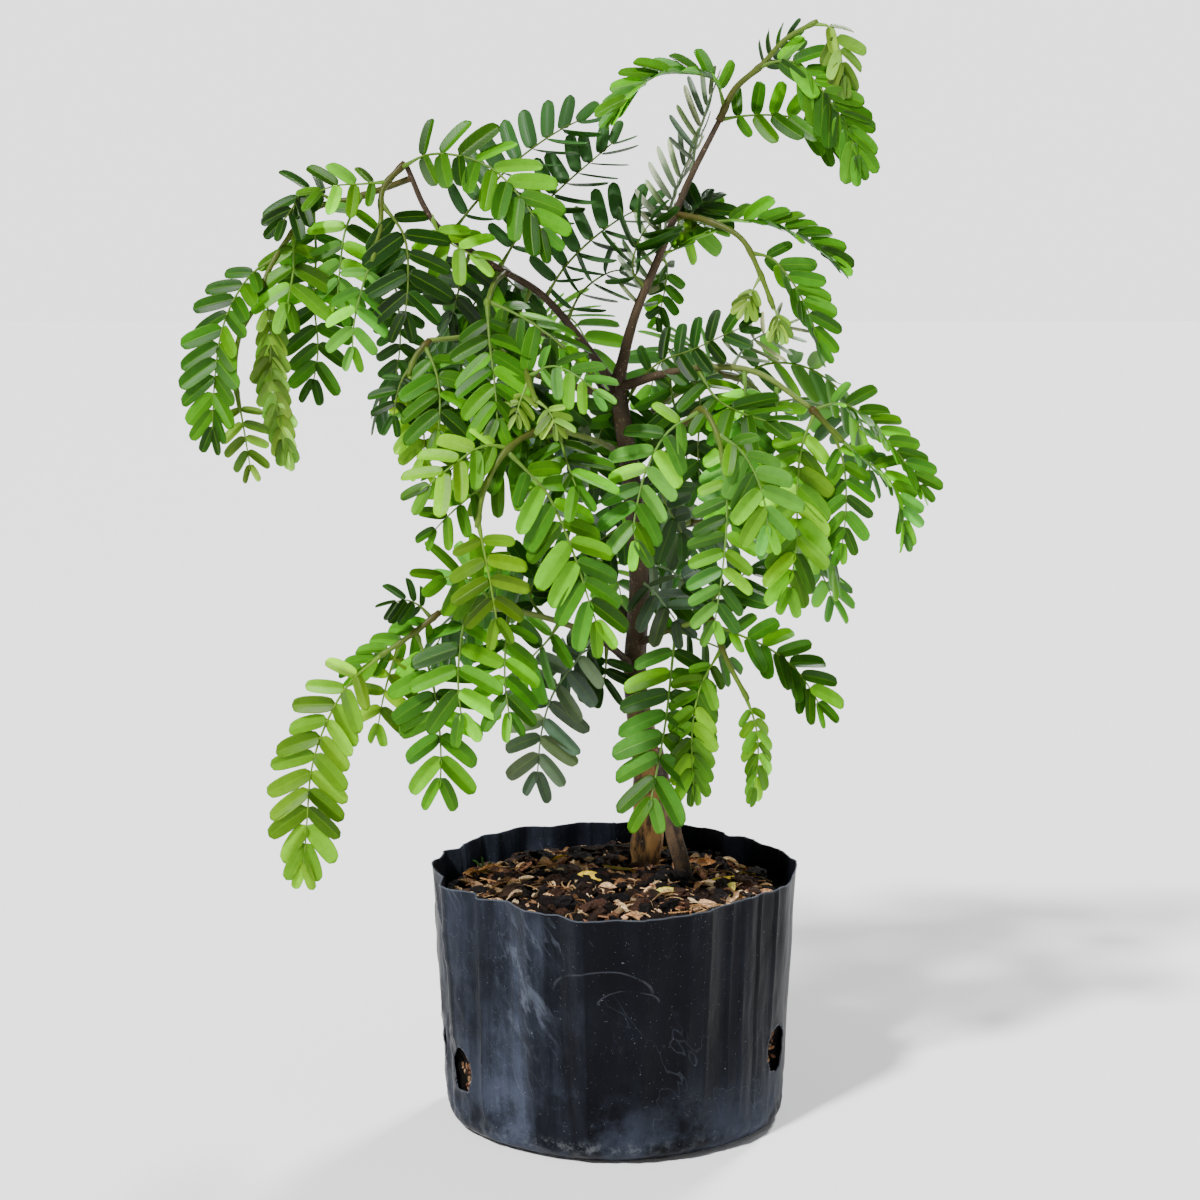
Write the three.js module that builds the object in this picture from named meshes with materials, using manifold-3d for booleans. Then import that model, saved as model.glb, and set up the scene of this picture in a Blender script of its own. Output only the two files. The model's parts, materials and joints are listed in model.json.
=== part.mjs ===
// A young tamarind in a black polythene grow bag.
// Sizes are in mm. X runs to the viewer's right, Y runs away from the viewer, Z runs up.
// The bag stands on Z = 0 with its middle on the Z axis.

import * as THREE from 'three';
import Module from 'manifold-3d';

// Bag
const BAG_HEIGHT = 138;
const BAG_RIM_RADIUS = 99.5;
const BAG_FOOT_RADIUS = 85.5;
const FOOT_SPREAD = 7.5;
const BAG_CORNER_RADIUS = 14;
const FLAT_EDGE_CORNER_RADIUS = 8;
const QUARTER_DENT = 8;
const QUARTER_RISE = 1.5;
const BAG_WALL = 1.15;
const BAG_PLEATS = 18;
const PLEAT_DEPTH = 3.2;
const RIM_WAVE = 1.6;
const FLAT_EDGE_RISE = 4;
const DRAIN_HOLE_RADIUS = 13;

// Potting mix
const SOIL_EDGE_HEIGHT = 122;
const SOIL_MIDDLE_HEIGHT = 130;
const SOIL_ROUGHNESS = 1.7;
const CHIP_COUNT = 18;
const CHIP_LENGTH = 25;

// Plant
const TRUNK_FOOT_RADIUS = 9.5;
const ROOTED_DEPTH = 28;
const SEAT_GAP = 0.3;
const RIB_WIDTH = 1.5;
const RIB_THICKNESS = 1.3;
const LEAFLET_LENGTH = 26;
const LEAFLET_SLENDERNESS = 0.36;
const LEAFLET_THICKNESS = 0.9;
const LEAFLET_ROOT = 3.4;
const LEAFLET_SPACING = 24;
const BARE_STALK = 0.13;
const TIP_REACH = 0.5;

// The front view that the plant's lines are read from: columns and rows, counted from the top left.
const VIEW_MIDDLE = 600;
const VIEW_SHARPNESS = 2400;
const VIEW_TILT = THREE.MathUtils.degToRad(9.4);
const EYE_SIDE = -8.3;
const EYE_DISTANCE = 1275;
const EYE_HEIGHT = 498.6;

const wasm = await Module();
wasm.setup();

// Repeatable draw of numbers between 0 and 1.
function seededDraw(seed) {
  let state = seed;
  return () => {
    state = (state + 0x6d2b79f5) | 0;
    let mixed = Math.imul(state ^ (state >>> 15), 1 | state);
    mixed = (mixed + Math.imul(mixed ^ (mixed >>> 7), 61 | mixed)) ^ mixed;
    return ((mixed ^ (mixed >>> 14)) >>> 0) / 4294967296;
  };
}

// The point at this depth behind the bag's axis that the front view shows at a column and row.
function seen([column, row, depth]) {
  const fall = VIEW_TILT + Math.atan((row - VIEW_MIDDLE) / VIEW_SHARPNESS);
  const reach = EYE_DISTANCE + depth;
  const height = EYE_HEIGHT - reach * Math.tan(fall);
  const along = reach * Math.cos(VIEW_TILT) + (EYE_HEIGHT - height) * Math.sin(VIEW_TILT);
  const side = EYE_SIDE + ((column - VIEW_MIDDLE) * along) / VIEW_SHARPNESS;
  return new THREE.Vector3(side, depth, height);
}

// Woody limbs: where each springs from, its line (column, row, depth) and its radius at both ends.
const WOOD = {
  trunk: {
    line: [[645, 868, 36], [648, 800, 34], [646, 740, 30], [634, 670, 24], [639, 600, 20],
      [638, 540, 16], [628, 460, 12], [617, 385, 8]],
    thick: [8.2, 4.6],
    sides: 8,
  },
  leader: {
    from: 'trunk',
    line: [[617, 385, 8], [636, 312, 8], [661, 252, 6], [690, 178, 2], [719, 121, 0]],
    thick: [4.2, 2],
    sides: 5,
  },
  left_branch: {
    from: 'trunk',
    line: [[619, 392, 8], [590, 352, 6], [548, 300, 0], [494, 265, -6], [450, 241, -12],
      [428, 212, -15], [405, 163, -16]],
    thick: [3.4, 1.9],
    sides: 5,
  },
  middle_branch: {
    from: 'trunk',
    line: [[620, 398, 9], [580, 388, -6], [535, 375, -18], [500, 352, -28], [465, 332, -36], [430, 340, -44]],
    thick: [3, 1.8],
    sides: 5,
  },
  right_branch: {
    from: 'trunk',
    line: [[618, 388, 8], [665, 373, -4], [710, 368, -14], [757, 372, -20], [797, 388, -26], [811, 408, -30]],
    thick: [3.2, 1.9],
    sides: 5,
  },
  front_branch: {
    from: 'trunk',
    line: [[628, 460, 12], [600, 442, -30], [560, 430, -60]],
    thick: [2.6, 1.9],
    sides: 5,
  },
  front_right_branch: {
    from: 'trunk',
    line: [[638, 525, 16], [656, 480, -22], [684, 424, -50]],
    thick: [2.6, 1.9],
    sides: 5,
  },
  low_left_branch: {
    from: 'trunk',
    line: [[634, 668, 24], [600, 640, 0], [540, 616, -25], [480, 608, -40], [440, 612, -48]],
    thick: [2.8, 1.8],
    sides: 5,
  },
  low_right_branch: {
    from: 'trunk',
    line: [[637, 645, 22], [680, 626, -10], [711, 618, -24]],
    thick: [2.6, 1.8],
    sides: 5,
  },
  back_left_branch: {
    from: 'trunk',
    line: [[622, 420, 10], [600, 385, 32], [572, 352, 50], [548, 334, 62]],
    thick: [3, 1.9],
    sides: 5,
  },
  back_right_branch: {
    from: 'trunk',
    line: [[625, 440, 11], [652, 412, 34], [690, 384, 54], [718, 374, 66]],
    thick: [3, 1.9],
    sides: 5,
  },
  back_low_branch: {
    from: 'trunk',
    line: [[636, 630, 22], [612, 600, 48], [588, 584, 66]],
    thick: [2.6, 1.8],
    sides: 5,
  },
  back_low_right_branch: {
    from: 'trunk',
    line: [[636, 560, 18], [662, 534, 44], [690, 522, 62]],
    thick: [2.6, 1.8],
    sides: 5,
  },
};

// A leaf: its line from the stem to the tip, how far the tip leans away (+) or towards the viewer,
// and, where they differ from the usual, its leaflets' length, fold and turn in degrees.
function leaf(line, lean, extra = {}) {
  return { line, lean, size: LEAFLET_LENGTH, fold: 14, turn: 0, ...extra };
}

// Leafy stems and leaves: the limb each springs from, its green stem (none for a single leaf) and leaves.
const SPRAYS = {
  top_spray: {
    from: 'leader',
    stem: [[719, 121, 0], [729, 96, -2], [757, 70, -5], [792, 34, -9], [818, 21, -12]],
    thick: [1.8, 1.2],
    leaves: [
      leaf([[724, 108], [714, 80], [681, 73], [656, 76], [624, 102], [607, 122]], -22),
      leaf([[720, 120], [743, 116], [771, 115], [794, 118], [815, 130], [848, 153]], 18, { fold: 20 }),
      leaf([[758, 69], [773, 62], [796, 63], [817, 84], [834, 107], [852, 138], [859, 176]], -24, { turn: 20 }),
      leaf([[812, 23], [826, 32], [833, 57], [842, 92]], -8, { size: 17 }),
    ],
  },
  upper_grey_leaf: {
    from: 'leader',
    leaves: [leaf([[692, 172], [697, 145], [706, 112], [716, 76]], 20, { turn: -35, size: 22 })],
  },
  lower_grey_leaf: {
    from: 'leader',
    leaves: [leaf([[668, 234], [672, 205], [684, 172], [703, 140]], 24, { turn: -30, size: 22 })],
  },
  leader_left_leaf: {
    from: 'leader',
    leaves: [leaf([[645, 288], [633, 272], [636, 248], [648, 226], [668, 210]], -22, { turn: 25, size: 22 })],
  },
  leader_bright_leaf: {
    from: 'leader',
    leaves: [leaf([[672, 224], [690, 222], [703, 214], [714, 196]], 30, { size: 22 })],
  },
  leader_back_leaf: {
    from: 'leader',
    leaves: [leaf([[660, 254], [672, 262], [670, 292], [658, 328]], 26, { size: 22 })],
  },
  upper_right_spray: {
    from: 'leader',
    stem: [[676, 214, 4], [714, 223, -10], [737, 235, -16], [754, 253, -20], [762, 282, -24], [774, 309, -28]],
    thick: [1.7, 1.2],
    leaves: [
      leaf([[712, 222], [743, 220], [770, 224], [796, 234], [820, 250], [846, 270]], -14, { fold: 22 }),
      leaf([[752, 252], [771, 258], [788, 276], [803, 300], [815, 330], [823, 360]], -8, { turn: 25 }),
      leaf([[760, 276], [752, 292], [743, 316]], -8, { size: 14 }),
      leaf([[770, 300], [777, 316], [779, 340]], -6, { size: 14 }),
    ],
  },
  fork_dark_leaf: {
    from: 'right_branch',
    leaves: [leaf([[640, 378], [660, 362], [692, 350], [722, 336], [755, 322]], -26, { fold: 30 })],
  },
  right_grey_leaf: {
    from: 'right_branch',
    leaves: [leaf([[728, 369], [748, 344], [774, 330], [802, 322]], 12, { size: 20 })],
  },
  back_dark_leaf_1: {
    from: 'left_branch',
    leaves: [leaf([[448, 239], [478, 200], [520, 158], [560, 130], [596, 113]], 34, { under: true })],
  },
  back_dark_leaf_2: {
    from: 'left_branch',
    leaves: [leaf([[500, 268], [529, 220], [564, 185], [595, 158], [625, 132]], 44, { under: true })],
  },
  back_dark_leaf_3: {
    from: 'left_branch',
    leaves: [leaf([[546, 298], [564, 268], [596, 236], [632, 212], [664, 202]], 40, { under: true })],
  },
  back_dark_leaf_4: {
    from: 'left_branch',
    leaves: [leaf([[566, 322], [582, 292], [610, 272], [636, 270]], 26, { under: true, size: 22 })],
  },
  upper_left_spray: {
    from: 'left_branch',
    stem: [[405, 163, -16], [390, 170, -18], [383, 184, -20], [386, 206, -24], [379, 230, -28], [372, 262, -32]],
    thick: [1.7, 1.2],
    leaves: [
      leaf([[398, 166], [427, 155], [460, 156], [494, 170], [526, 205], [552, 249]], -44, { fold: 24 }),
      leaf([[386, 178], [362, 184], [334, 186], [304, 198]], -16),
      leaf([[386, 206], [404, 236], [408, 284], [402, 336]], -16),
      leaf([[380, 228], [396, 290], [400, 346], [386, 424]], 22),
      leaf([[374, 256], [362, 288], [354, 324], [352, 366]], -10, { size: 20 }),
    ],
  },
  outer_left_spray: {
    from: 'left_branch',
    stem: [[412, 178, -16], [391, 186, -6], [348, 200, 2], [312, 210, 2], [290, 236, -2], [272, 263, -8],
      [262, 294, -14], [246, 320, -19], [237, 345, -22], [235, 376, -24], [240, 412, -26]],
    thick: [1.8, 1.2],
    leaves: [
      leaf([[338, 203], [306, 190], [290, 212], [274, 232]], -24, { size: 22 }),
      leaf([[276, 256], [254, 272], [236, 296], [222, 330], [215, 376], [212, 448]], -34),
      leaf([[266, 286], [270, 324], [271, 371], [278, 412], [293, 465]], -4, { size: 22 }),
      leaf([[312, 210], [316, 250], [314, 302], [318, 350], [310, 399]], 6, { size: 22 }),
      leaf([[292, 232], [294, 262], [290, 292], [284, 322]], -34),
      leaf([[364, 196], [346, 228], [340, 268], [336, 318]], -22, { size: 22 }),
      leaf([[237, 392], [244, 430], [252, 478]], -6, { size: 14 }),
    ],
  },
  centre_upper_spray: {
    from: 'left_branch',
    stem: [[505, 272, -5], [494, 284, -26], [487, 304, -44]],
    thick: [1.7, 1.3],
    leaves: [
      leaf([[487, 300], [489, 335], [492, 362], [496, 398], [498, 440]], -42),
      leaf([[490, 294], [512, 312], [536, 326], [560, 344], [580, 366]], -22, { fold: 20 }),
    ],
  },
  middle_left_spray: {
    from: 'middle_branch',
    stem: [[430, 340, -44], [416, 356, -48], [408, 376, -52]],
    thick: [1.7, 1.2],
    leaves: [
      leaf([[424, 346], [436, 372], [440, 404], [436, 452]], -34),
      leaf([[412, 366], [398, 380], [388, 400], [380, 430]], -18, { size: 20 }),
      leaf([[408, 374], [412, 402], [412, 436], [406, 476]], -8, { size: 20 }),
    ],
  },
  middle_leaf: {
    from: 'middle_branch',
    leaves: [leaf([[466, 333], [462, 362], [458, 394], [460, 432]], -26)],
  },
  young_spray: {
    from: 'middle_branch',
    stem: [[518, 364, -24], [526, 366, -50], [529, 384, -70], [536, 402, -82]],
    thick: [1.7, 1.2],
    leaves: [
      leaf([[527, 372], [552, 366], [580, 378], [607, 402]], -22, { size: 18 }),
      leaf([[533, 396], [548, 410], [560, 436]], -10, { size: 12 }),
      leaf([[530, 386], [520, 402], [514, 424]], -16, { size: 12 }),
    ],
  },
  front_spray: {
    from: 'front_branch',
    stem: [[560, 430, -60], [534, 432, -74], [512, 444, -84], [494, 470, -90], [482, 496, -94], [477, 528, -96]],
    thick: [1.8, 1.2],
    leaves: [
      leaf([[508, 450], [526, 470], [546, 492], [562, 524], [578, 566], [592, 610], [605, 645]], -18),
      leaf([[512, 444], [484, 446], [452, 466], [412, 500]], -16),
      leaf([[478, 522], [486, 560], [493, 598], [500, 640]], -8, { size: 22 }),
      leaf([[556, 431], [564, 452], [572, 476], [584, 506]], -34),
      leaf([[488, 482], [464, 500], [440, 520], [410, 552]], 4, { size: 20 }),
    ],
  },
  front_right_spray: {
    from: 'front_right_branch',
    stem: [[684, 424, -50], [698, 408, -58], [714, 426, -68], [724, 466, -76]],
    thick: [1.7, 1.2],
    leaves: [
      leaf([[696, 410], [668, 432], [648, 466], [638, 500], [634, 530], [641, 562]], -28),
      leaf([[722, 458], [727, 508], [723, 566], [712, 640]], -10, { size: 20 }),
      leaf([[716, 434], [742, 452], [762, 492], [770, 548]], -14),
    ],
  },
  right_hanging_leaf: {
    from: 'right_branch',
    leaves: [leaf([[744, 371], [745, 404], [741, 452], [736, 490], [731, 531]], -22)],
  },
  right_spray: {
    from: 'right_branch',
    stem: [[811, 408, -30], [826, 424, -32], [843, 442, -34]],
    thick: [1.7, 1.2],
    leaves: [
      leaf([[813, 410], [840, 403], [864, 416], [892, 446], [913, 474], [928, 500]], -24, { size: 20 }),
      leaf([[840, 439], [862, 458], [884, 474], [900, 500], [905, 548]], -6, { size: 20 }),
      leaf([[815, 412], [802, 446], [797, 493], [797, 540], [786, 613]], -26),
      leaf([[834, 432], [844, 466], [846, 510], [840, 566]], -4),
    ],
  },
  right_inner_leaf: {
    from: 'right_branch',
    leaves: [leaf([[782, 382], [776, 420], [772, 462], [764, 520]], 24)],
  },
  right_upper_leaf: {
    from: 'right_branch',
    leaves: [leaf([[700, 369], [716, 398], [744, 414], [786, 426]], -44)],
  },
  trunk_blue_leaf: {
    from: 'trunk',
    leaves: [leaf([[640, 580], [650, 588], [664, 604], [686, 636]], -34, { size: 22 })],
  },
  low_left_spray: {
    from: 'low_left_branch',
    stem: [[440, 612, -48], [418, 630, -52], [398, 644, -54], [380, 656, -56]],
    thick: [1.7, 1.2],
    leaves: [
      leaf([[383, 654], [350, 686], [329, 726], [317, 768], [312, 820], [307, 884]], -14),
      leaf([[416, 632], [430, 672], [438, 714], [441, 760], [439, 803]], -10),
      leaf([[400, 643], [390, 672], [382, 704], [376, 740]], 16, { size: 20 }),
      leaf([[430, 620], [412, 604], [394, 602], [372, 612]], -12, { size: 20 }),
    ],
  },
  low_left_hanging_leaf_1: {
    from: 'low_left_branch',
    leaves: [leaf([[470, 608], [462, 634], [458, 680], [464, 738]], -30)],
  },
  low_left_hanging_leaf_2: {
    from: 'low_left_branch',
    leaves: [leaf([[512, 611], [506, 640], [505, 682], [512, 732]], -40, { size: 22 })],
  },
  low_left_top_leaf: {
    from: 'low_left_branch',
    leaves: [leaf([[492, 609], [480, 588], [456, 576], [424, 584]], -34)],
  },
  low_blue_leaf: {
    from: 'low_left_branch',
    leaves: [leaf([[584, 634], [576, 664], [560, 692], [549, 730], [541, 796]], 10)],
  },
  low_right_spray: {
    from: 'low_right_branch',
    stem: [[711, 618, -24], [716, 644, -29], [730, 664, -33], [742, 682, -36], [748, 700, -38]],
    thick: [1.7, 1.2],
    leaves: [
      leaf([[713, 626], [740, 640], [766, 654], [792, 678], [808, 702], [820, 728]], -12, { size: 22 }),
      leaf([[746, 694], [755, 728], [757, 762], [751, 800]], -2, { size: 18, fold: 40 }),
      leaf([[718, 648], [704, 686], [698, 722], [698, 760], [700, 804]], -14, { size: 20 }),
    ],
  },
  low_front_leaf: {
    from: 'low_right_branch',
    leaves: [leaf([[684, 625], [676, 646], [674, 684], [669, 726], [659, 780], [648, 824]], -48)],
  },
};

// Leafy stems on the far side: leaves alternate along a stem that carries on from its limb.
const FAR_SPRAYS = {
  far_left_spray: {
    from: 'back_left_branch',
    stem: [[548, 334, 62], [524, 334, 76], [500, 352, 88]],
    leaves: 4,
    seed: 11,
  },
  far_right_spray: {
    from: 'back_right_branch',
    stem: [[718, 374, 66], [746, 382, 80], [770, 404, 90]],
    leaves: 4,
    seed: 12,
  },
  far_low_spray: {
    from: 'back_low_branch',
    stem: [[588, 584, 66], [562, 584, 80], [540, 604, 90]],
    leaves: 4,
    seed: 13,
  },
  far_low_right_spray: {
    from: 'back_low_right_branch',
    stem: [[690, 522, 62], [714, 524, 76], [734, 544, 86]],
    leaves: 4,
    seed: 14,
  },
};

// Points spaced evenly along a smooth line through the given ones.
function evenLine(points, spacing) {
  const curve = new THREE.CatmullRomCurve3(points, false, 'centripetal');
  const steps = Math.max(2, Math.round(curve.getLength() / spacing));
  return curve.getSpacedPoints(steps);
}

// The point of a line nearest to another point.
function nearestOn(line, point) {
  const best = new THREE.Vector3();
  const candidate = new THREE.Vector3();
  let least = Infinity;
  for (let i = 1; i < line.length; i += 1) {
    new THREE.Line3(line[i - 1], line[i]).closestPointToPoint(point, true, candidate);
    const distance = candidate.distanceTo(point);
    if (distance < least) {
      least = distance;
      best.copy(candidate);
    }
  }
  return best;
}

// A closed body from its corner points and triangles.
function body(corners, triangles) {
  const flat = new Float32Array(corners.flatMap((corner) => [corner.x, corner.y, corner.z]));
  const mesh = new wasm.Mesh({ numProp: 3, vertProperties: flat, triVerts: new Uint32Array(triangles.flat()) });
  return new wasm.Manifold(mesh);
}

// A round stem along a line, with a radius for each of its points.
function stemBody(line, radii, sides) {
  const corners = [];
  const triangles = [];
  let across = new THREE.Vector3(0.3, 0.9, 0.1);
  line.forEach((centre, i) => {
    const ahead = line[Math.min(i + 1, line.length - 1)];
    const behind = line[Math.max(i - 1, 0)];
    const along = ahead.clone().sub(behind).normalize();
    across = across.clone().addScaledVector(along, -across.dot(along)).normalize();
    const other = along.clone().cross(across);
    for (let k = 0; k < sides; k += 1) {
      const angle = (2 * Math.PI * k) / sides;
      const corner = centre.clone();
      corner.addScaledVector(across, radii[i] * Math.cos(angle));
      corner.addScaledVector(other, radii[i] * Math.sin(angle));
      corners.push(corner);
    }
  });
  const last = (line.length - 1) * sides;
  for (let k = 0; k < sides; k += 1) {
    const next = (k + 1) % sides;
    for (let i = 0; i < line.length - 1; i += 1) {
      const low = i * sides;
      const high = low + sides;
      triangles.push([low + k, low + next, high + next], [low + k, high + next, high + k]);
    }
    if (k > 0 && k < sides - 1) {
      triangles.push([0, next, k], [last, last + k, last + next]);
    }
  }
  return body(corners, triangles);
}

// Radii that taper evenly along a line.
function taper(line, [start, end]) {
  return line.map((point, i) => start + ((end - start) * i) / (line.length - 1));
}

// The trunk swells towards the soil and carries on down into it.
function trunkLine() {
  const line = evenLine(WOOD.trunk.line.map(seen), 52);
  const foot = line[0].clone();
  const rooted = foot.clone().setZ(SOIL_MIDDLE_HEIGHT - ROOTED_DEPTH);
  return [rooted, foot.setZ(SOIL_MIDDLE_HEIGHT - 4), ...line.slice(1)];
}

function trunkRadii(line) {
  const radii = taper(line, WOOD.trunk.thick);
  radii[0] = TRUNK_FOOT_RADIUS + 0.5;
  radii[1] = TRUNK_FOOT_RADIUS + 0.5;
  radii[2] = TRUNK_FOOT_RADIUS - 1.2;
  return radii;
}

// Every limb starts on the middle line of the one that carries it.
function limbLines() {
  const lines = { trunk: trunkLine() };
  for (const [name, limb] of Object.entries(WOOD)) {
    if (limb.from) {
      const points = limb.line.map(seen);
      points[0] = nearestOn(lines[limb.from], points[0]);
      lines[name] = evenLine(points, 34);
    }
  }
  return lines;
}

const LIMBS = limbLines();

function limbRadii(name) {
  return name === 'trunk' ? trunkRadii(LIMBS.trunk) : taper(LIMBS[name], WOOD[name].thick);
}

// The woody frame, grown outwards all round by a margin.
function woodBody(margin) {
  let wood = null;
  for (const [name, line] of Object.entries(LIMBS)) {
    const sides = WOOD[name].sides;
    const radii = limbRadii(name).map((radius) => radius + margin / Math.cos(Math.PI / sides));
    const limb = stemBody(line, radii, sides);
    wood = wood ? wood.add(limb) : limb;
  }
  return wood;
}

// A leaf's middle line, from the middle of the stem that carries it.
function ribLine(carrier, entry) {
  const root = nearestOn(carrier, seen([...entry.line[0], middleDepth(carrier, entry.line[0])]));
  const points = entry.line.map(([column, row], i) => {
    const share = i / (entry.line.length - 1);
    return seen([column, row, root.y + entry.lean * share ** 1.2]);
  });
  points[0] = root;
  return new THREE.CatmullRomCurve3(points, false, 'centripetal');
}

// The depth of the part of a line that shows nearest to a column and row.
function middleDepth(carrier, [column, row]) {
  let least = Infinity;
  let depth = 0;
  for (const point of carrier) {
    const distance = seen([column, row, point.y]).distanceTo(point);
    if (distance < least) {
      least = distance;
      depth = point.y;
    }
  }
  return depth;
}

// A far leaf rises a little from its stem, then arches over and hangs.
function archLine(root, heading, length, rise, hang) {
  const points = [root.clone()];
  const steps = 5;
  for (let i = 0; i < steps; i += 1) {
    const slope = THREE.MathUtils.degToRad(rise + ((hang - rise) * i) / (steps - 1));
    const step = new THREE.Vector3(Math.sin(heading), Math.cos(heading), 0).multiplyScalar(Math.cos(slope));
    step.z = Math.sin(slope);
    points.push(points[i].clone().addScaledVector(step, length / steps));
  }
  return new THREE.CatmullRomCurve3(points, false, 'centripetal');
}

// Direction that a leaf's upper face looks in: up and towards the viewer, or up and outwards on the far side.
function faceOf(entry, middle) {
  const outward = entry.far ? new THREE.Vector3(middle.x, middle.y, 0).normalize() : new THREE.Vector3(0, -1, 0);
  const face = outward.multiplyScalar(0.8).add(new THREE.Vector3(0, 0, 0.6));
  return entry.under ? face.negate() : face;
}

// Places across the leaf's rib where pairs of leaflets join it.
function stations(entry, curve) {
  const length = curve.getLength();
  const stalk = Math.max(9, length * BARE_STALK);
  const run = length - stalk - TIP_REACH * entry.size;
  const spacing = LEAFLET_SPACING * (0.4 + (0.6 * entry.size) / LEAFLET_LENGTH);
  const pairs = Math.max(3, Math.round(run / spacing) + 1);
  const face = faceOf(entry, curve.getPointAt(0.5));
  const places = [0];
  for (let k = 0; k < pairs; k += 1) {
    const middle = stalk + (run * k) / (pairs - 1);
    places.push(middle - LEAFLET_ROOT / 2, middle + LEAFLET_ROOT / 2);
  }
  return places.map((place) => {
    const share = Math.min(1, place / length);
    const centre = curve.getPointAt(share);
    const along = curve.getTangentAt(share);
    const up = face.clone().addScaledVector(along, -face.dot(along)).normalize();
    up.applyAxisAngle(along, THREE.MathUtils.degToRad(entry.turn));
    const side = along.clone().cross(up);
    return { centre, along, up, side, share };
  });
}

// A leaflet: a flat blade of five corners hinged on the rib, folded down from the leaf's face.
function leafletAt(spot, sign, entry, fold, scale, swing) {
  const tilt = THREE.MathUtils.degToRad(fold);
  const outward = spot.side.clone().multiplyScalar(sign * Math.cos(tilt));
  outward.addScaledVector(spot.up, -Math.sin(tilt));
  const lift = spot.up.clone().multiplyScalar(Math.cos(tilt)).addScaledVector(spot.side, sign * Math.sin(tilt));
  const rake = THREE.MathUtils.degToRad(76 - 36 * spot.share ** 3 + swing);
  const reach = spot.along.clone().multiplyScalar(Math.cos(rake)).addScaledVector(outward, Math.sin(rake));
  const ahead = spot.along.clone().multiplyScalar(Math.sin(rake)).addScaledVector(outward, -Math.cos(rake));
  const length = entry.size * scale * (1.02 - 0.3 * Math.abs(spot.share - 0.45) ** 1.4);
  const width = length * LEAFLET_SLENDERNESS;
  const at = (far, wide) => {
    const corner = spot.centre.clone().addScaledVector(spot.side, (sign * RIB_WIDTH) / 2);
    return corner.addScaledVector(reach, far * length).addScaledVector(ahead, wide * width);
  };
  const outline = [at(0.72, -0.5), at(1, -0.05), at(0.66, 0.5)];
  const root = [-1, 1].map((way) => {
    const corner = spot.centre.clone().addScaledVector(spot.side, (sign * RIB_WIDTH) / 2);
    return corner.addScaledVector(spot.along, (way * LEAFLET_ROOT) / 2);
  });
  const ring = [root[0], ...outline, root[1]];
  return { ring, outline, lift, middle: at(0.55, 0), reach: length * 0.62 };
}

// Triangles that fill a ring of corners, worked inwards from both ends.
function fill(ring) {
  const triangles = [];
  let low = 0;
  let high = ring.length - 1;
  while (high - low > 1) {
    triangles.push([ring[low], ring[low + 1], ring[high]]);
    low += 1;
    if (high - low > 1) {
      triangles.push([ring[low], ring[high - 1], ring[high]]);
      high -= 1;
    }
  }
  return triangles;
}

function segmentGap(first, second) {
  return Math.sqrt(first.distanceSqToLine3(second, new THREE.Vector3(), new THREE.Vector3()));
}

function sidesOf([a, b, c]) {
  return [new THREE.Line3(a, b), new THREE.Line3(b, c), new THREE.Line3(c, a)];
}

function pierces(line, [a, b, c]) {
  const along = line.end.clone().sub(line.start);
  const length = along.length();
  const ray = new THREE.Ray(line.start, along.normalize());
  const hit = ray.intersectTriangle(a, b, c, false, new THREE.Vector3());
  return hit !== null && hit.distanceTo(line.start) <= length;
}

function cornerGap(point, [a, b, c]) {
  const nearest = new THREE.Triangle(a, b, c).closestPointToPoint(point, new THREE.Vector3());
  return nearest.distanceTo(point);
}

// Shortest distance from a line to a triangle.
function lineGap(line, triangle) {
  if (pierces(line, triangle)) {
    return 0;
  }
  const toSides = sidesOf(triangle).map((side) => segmentGap(line, side));
  return Math.min(...toSides, cornerGap(line.start, triangle), cornerGap(line.end, triangle));
}

// Shortest distance between two triangles.
function triangleGap(first, second) {
  const gaps = sidesOf(first).map((side) => lineGap(side, second));
  if (sidesOf(second).some((side) => pierces(side, first))) {
    return 0;
  }
  return Math.min(...gaps, ...second.map((corner) => cornerGap(corner, first)));
}

const STEM_LINES = [];
const BLADES = [];

function noteLine(owner, points, radii) {
  for (let i = 1; i < points.length; i += 1) {
    const line = new THREE.Line3(points[i - 1], points[i]);
    const middle = line.getCenter(new THREE.Vector3());
    const radius = Math.max(radii[i - 1], radii[i]);
    STEM_LINES.push({ owner, line, radius, middle, reach: line.distance() / 2 });
  }
}

// Whether a leaflet stays clear of every other leaf's stems and blades.
function isClear(blade, owner) {
  const triangles = fill(blade.ring);
  const room = LEAFLET_THICKNESS + SEAT_GAP;
  for (const other of BLADES) {
    if (blade.middle.distanceTo(other.middle) < blade.reach + other.reach + room) {
      if (triangles.some((mine) => other.triangles.some((theirs) => triangleGap(mine, theirs) < room))) {
        return false;
      }
    }
  }
  for (const stem of STEM_LINES) {
    const keep = stem.radius + LEAFLET_THICKNESS / 2 + SEAT_GAP;
    if (stem.owner !== owner && blade.middle.distanceTo(stem.middle) < blade.reach + stem.reach + keep) {
      if (triangles.some((mine) => lineGap(stem.line, mine) < keep)) {
        return false;
      }
    }
  }
  return true;
}

// The first way of folding a leaflet that keeps it clear, or nothing where there is no room.
function placeLeaflet(spot, sign, leafPlan, swing) {
  const owner = leafPlan.owner;
  for (const scale of [1, 0.8]) {
    for (const shift of [0, -16, 16, -32, 32, -46]) {
      const blade = leafletAt(spot, sign, leafPlan.entry, leafPlan.entry.fold + shift, scale, swing);
      if (isClear(blade, owner)) {
        return blade;
      }
    }
  }
  return null;
}

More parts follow.
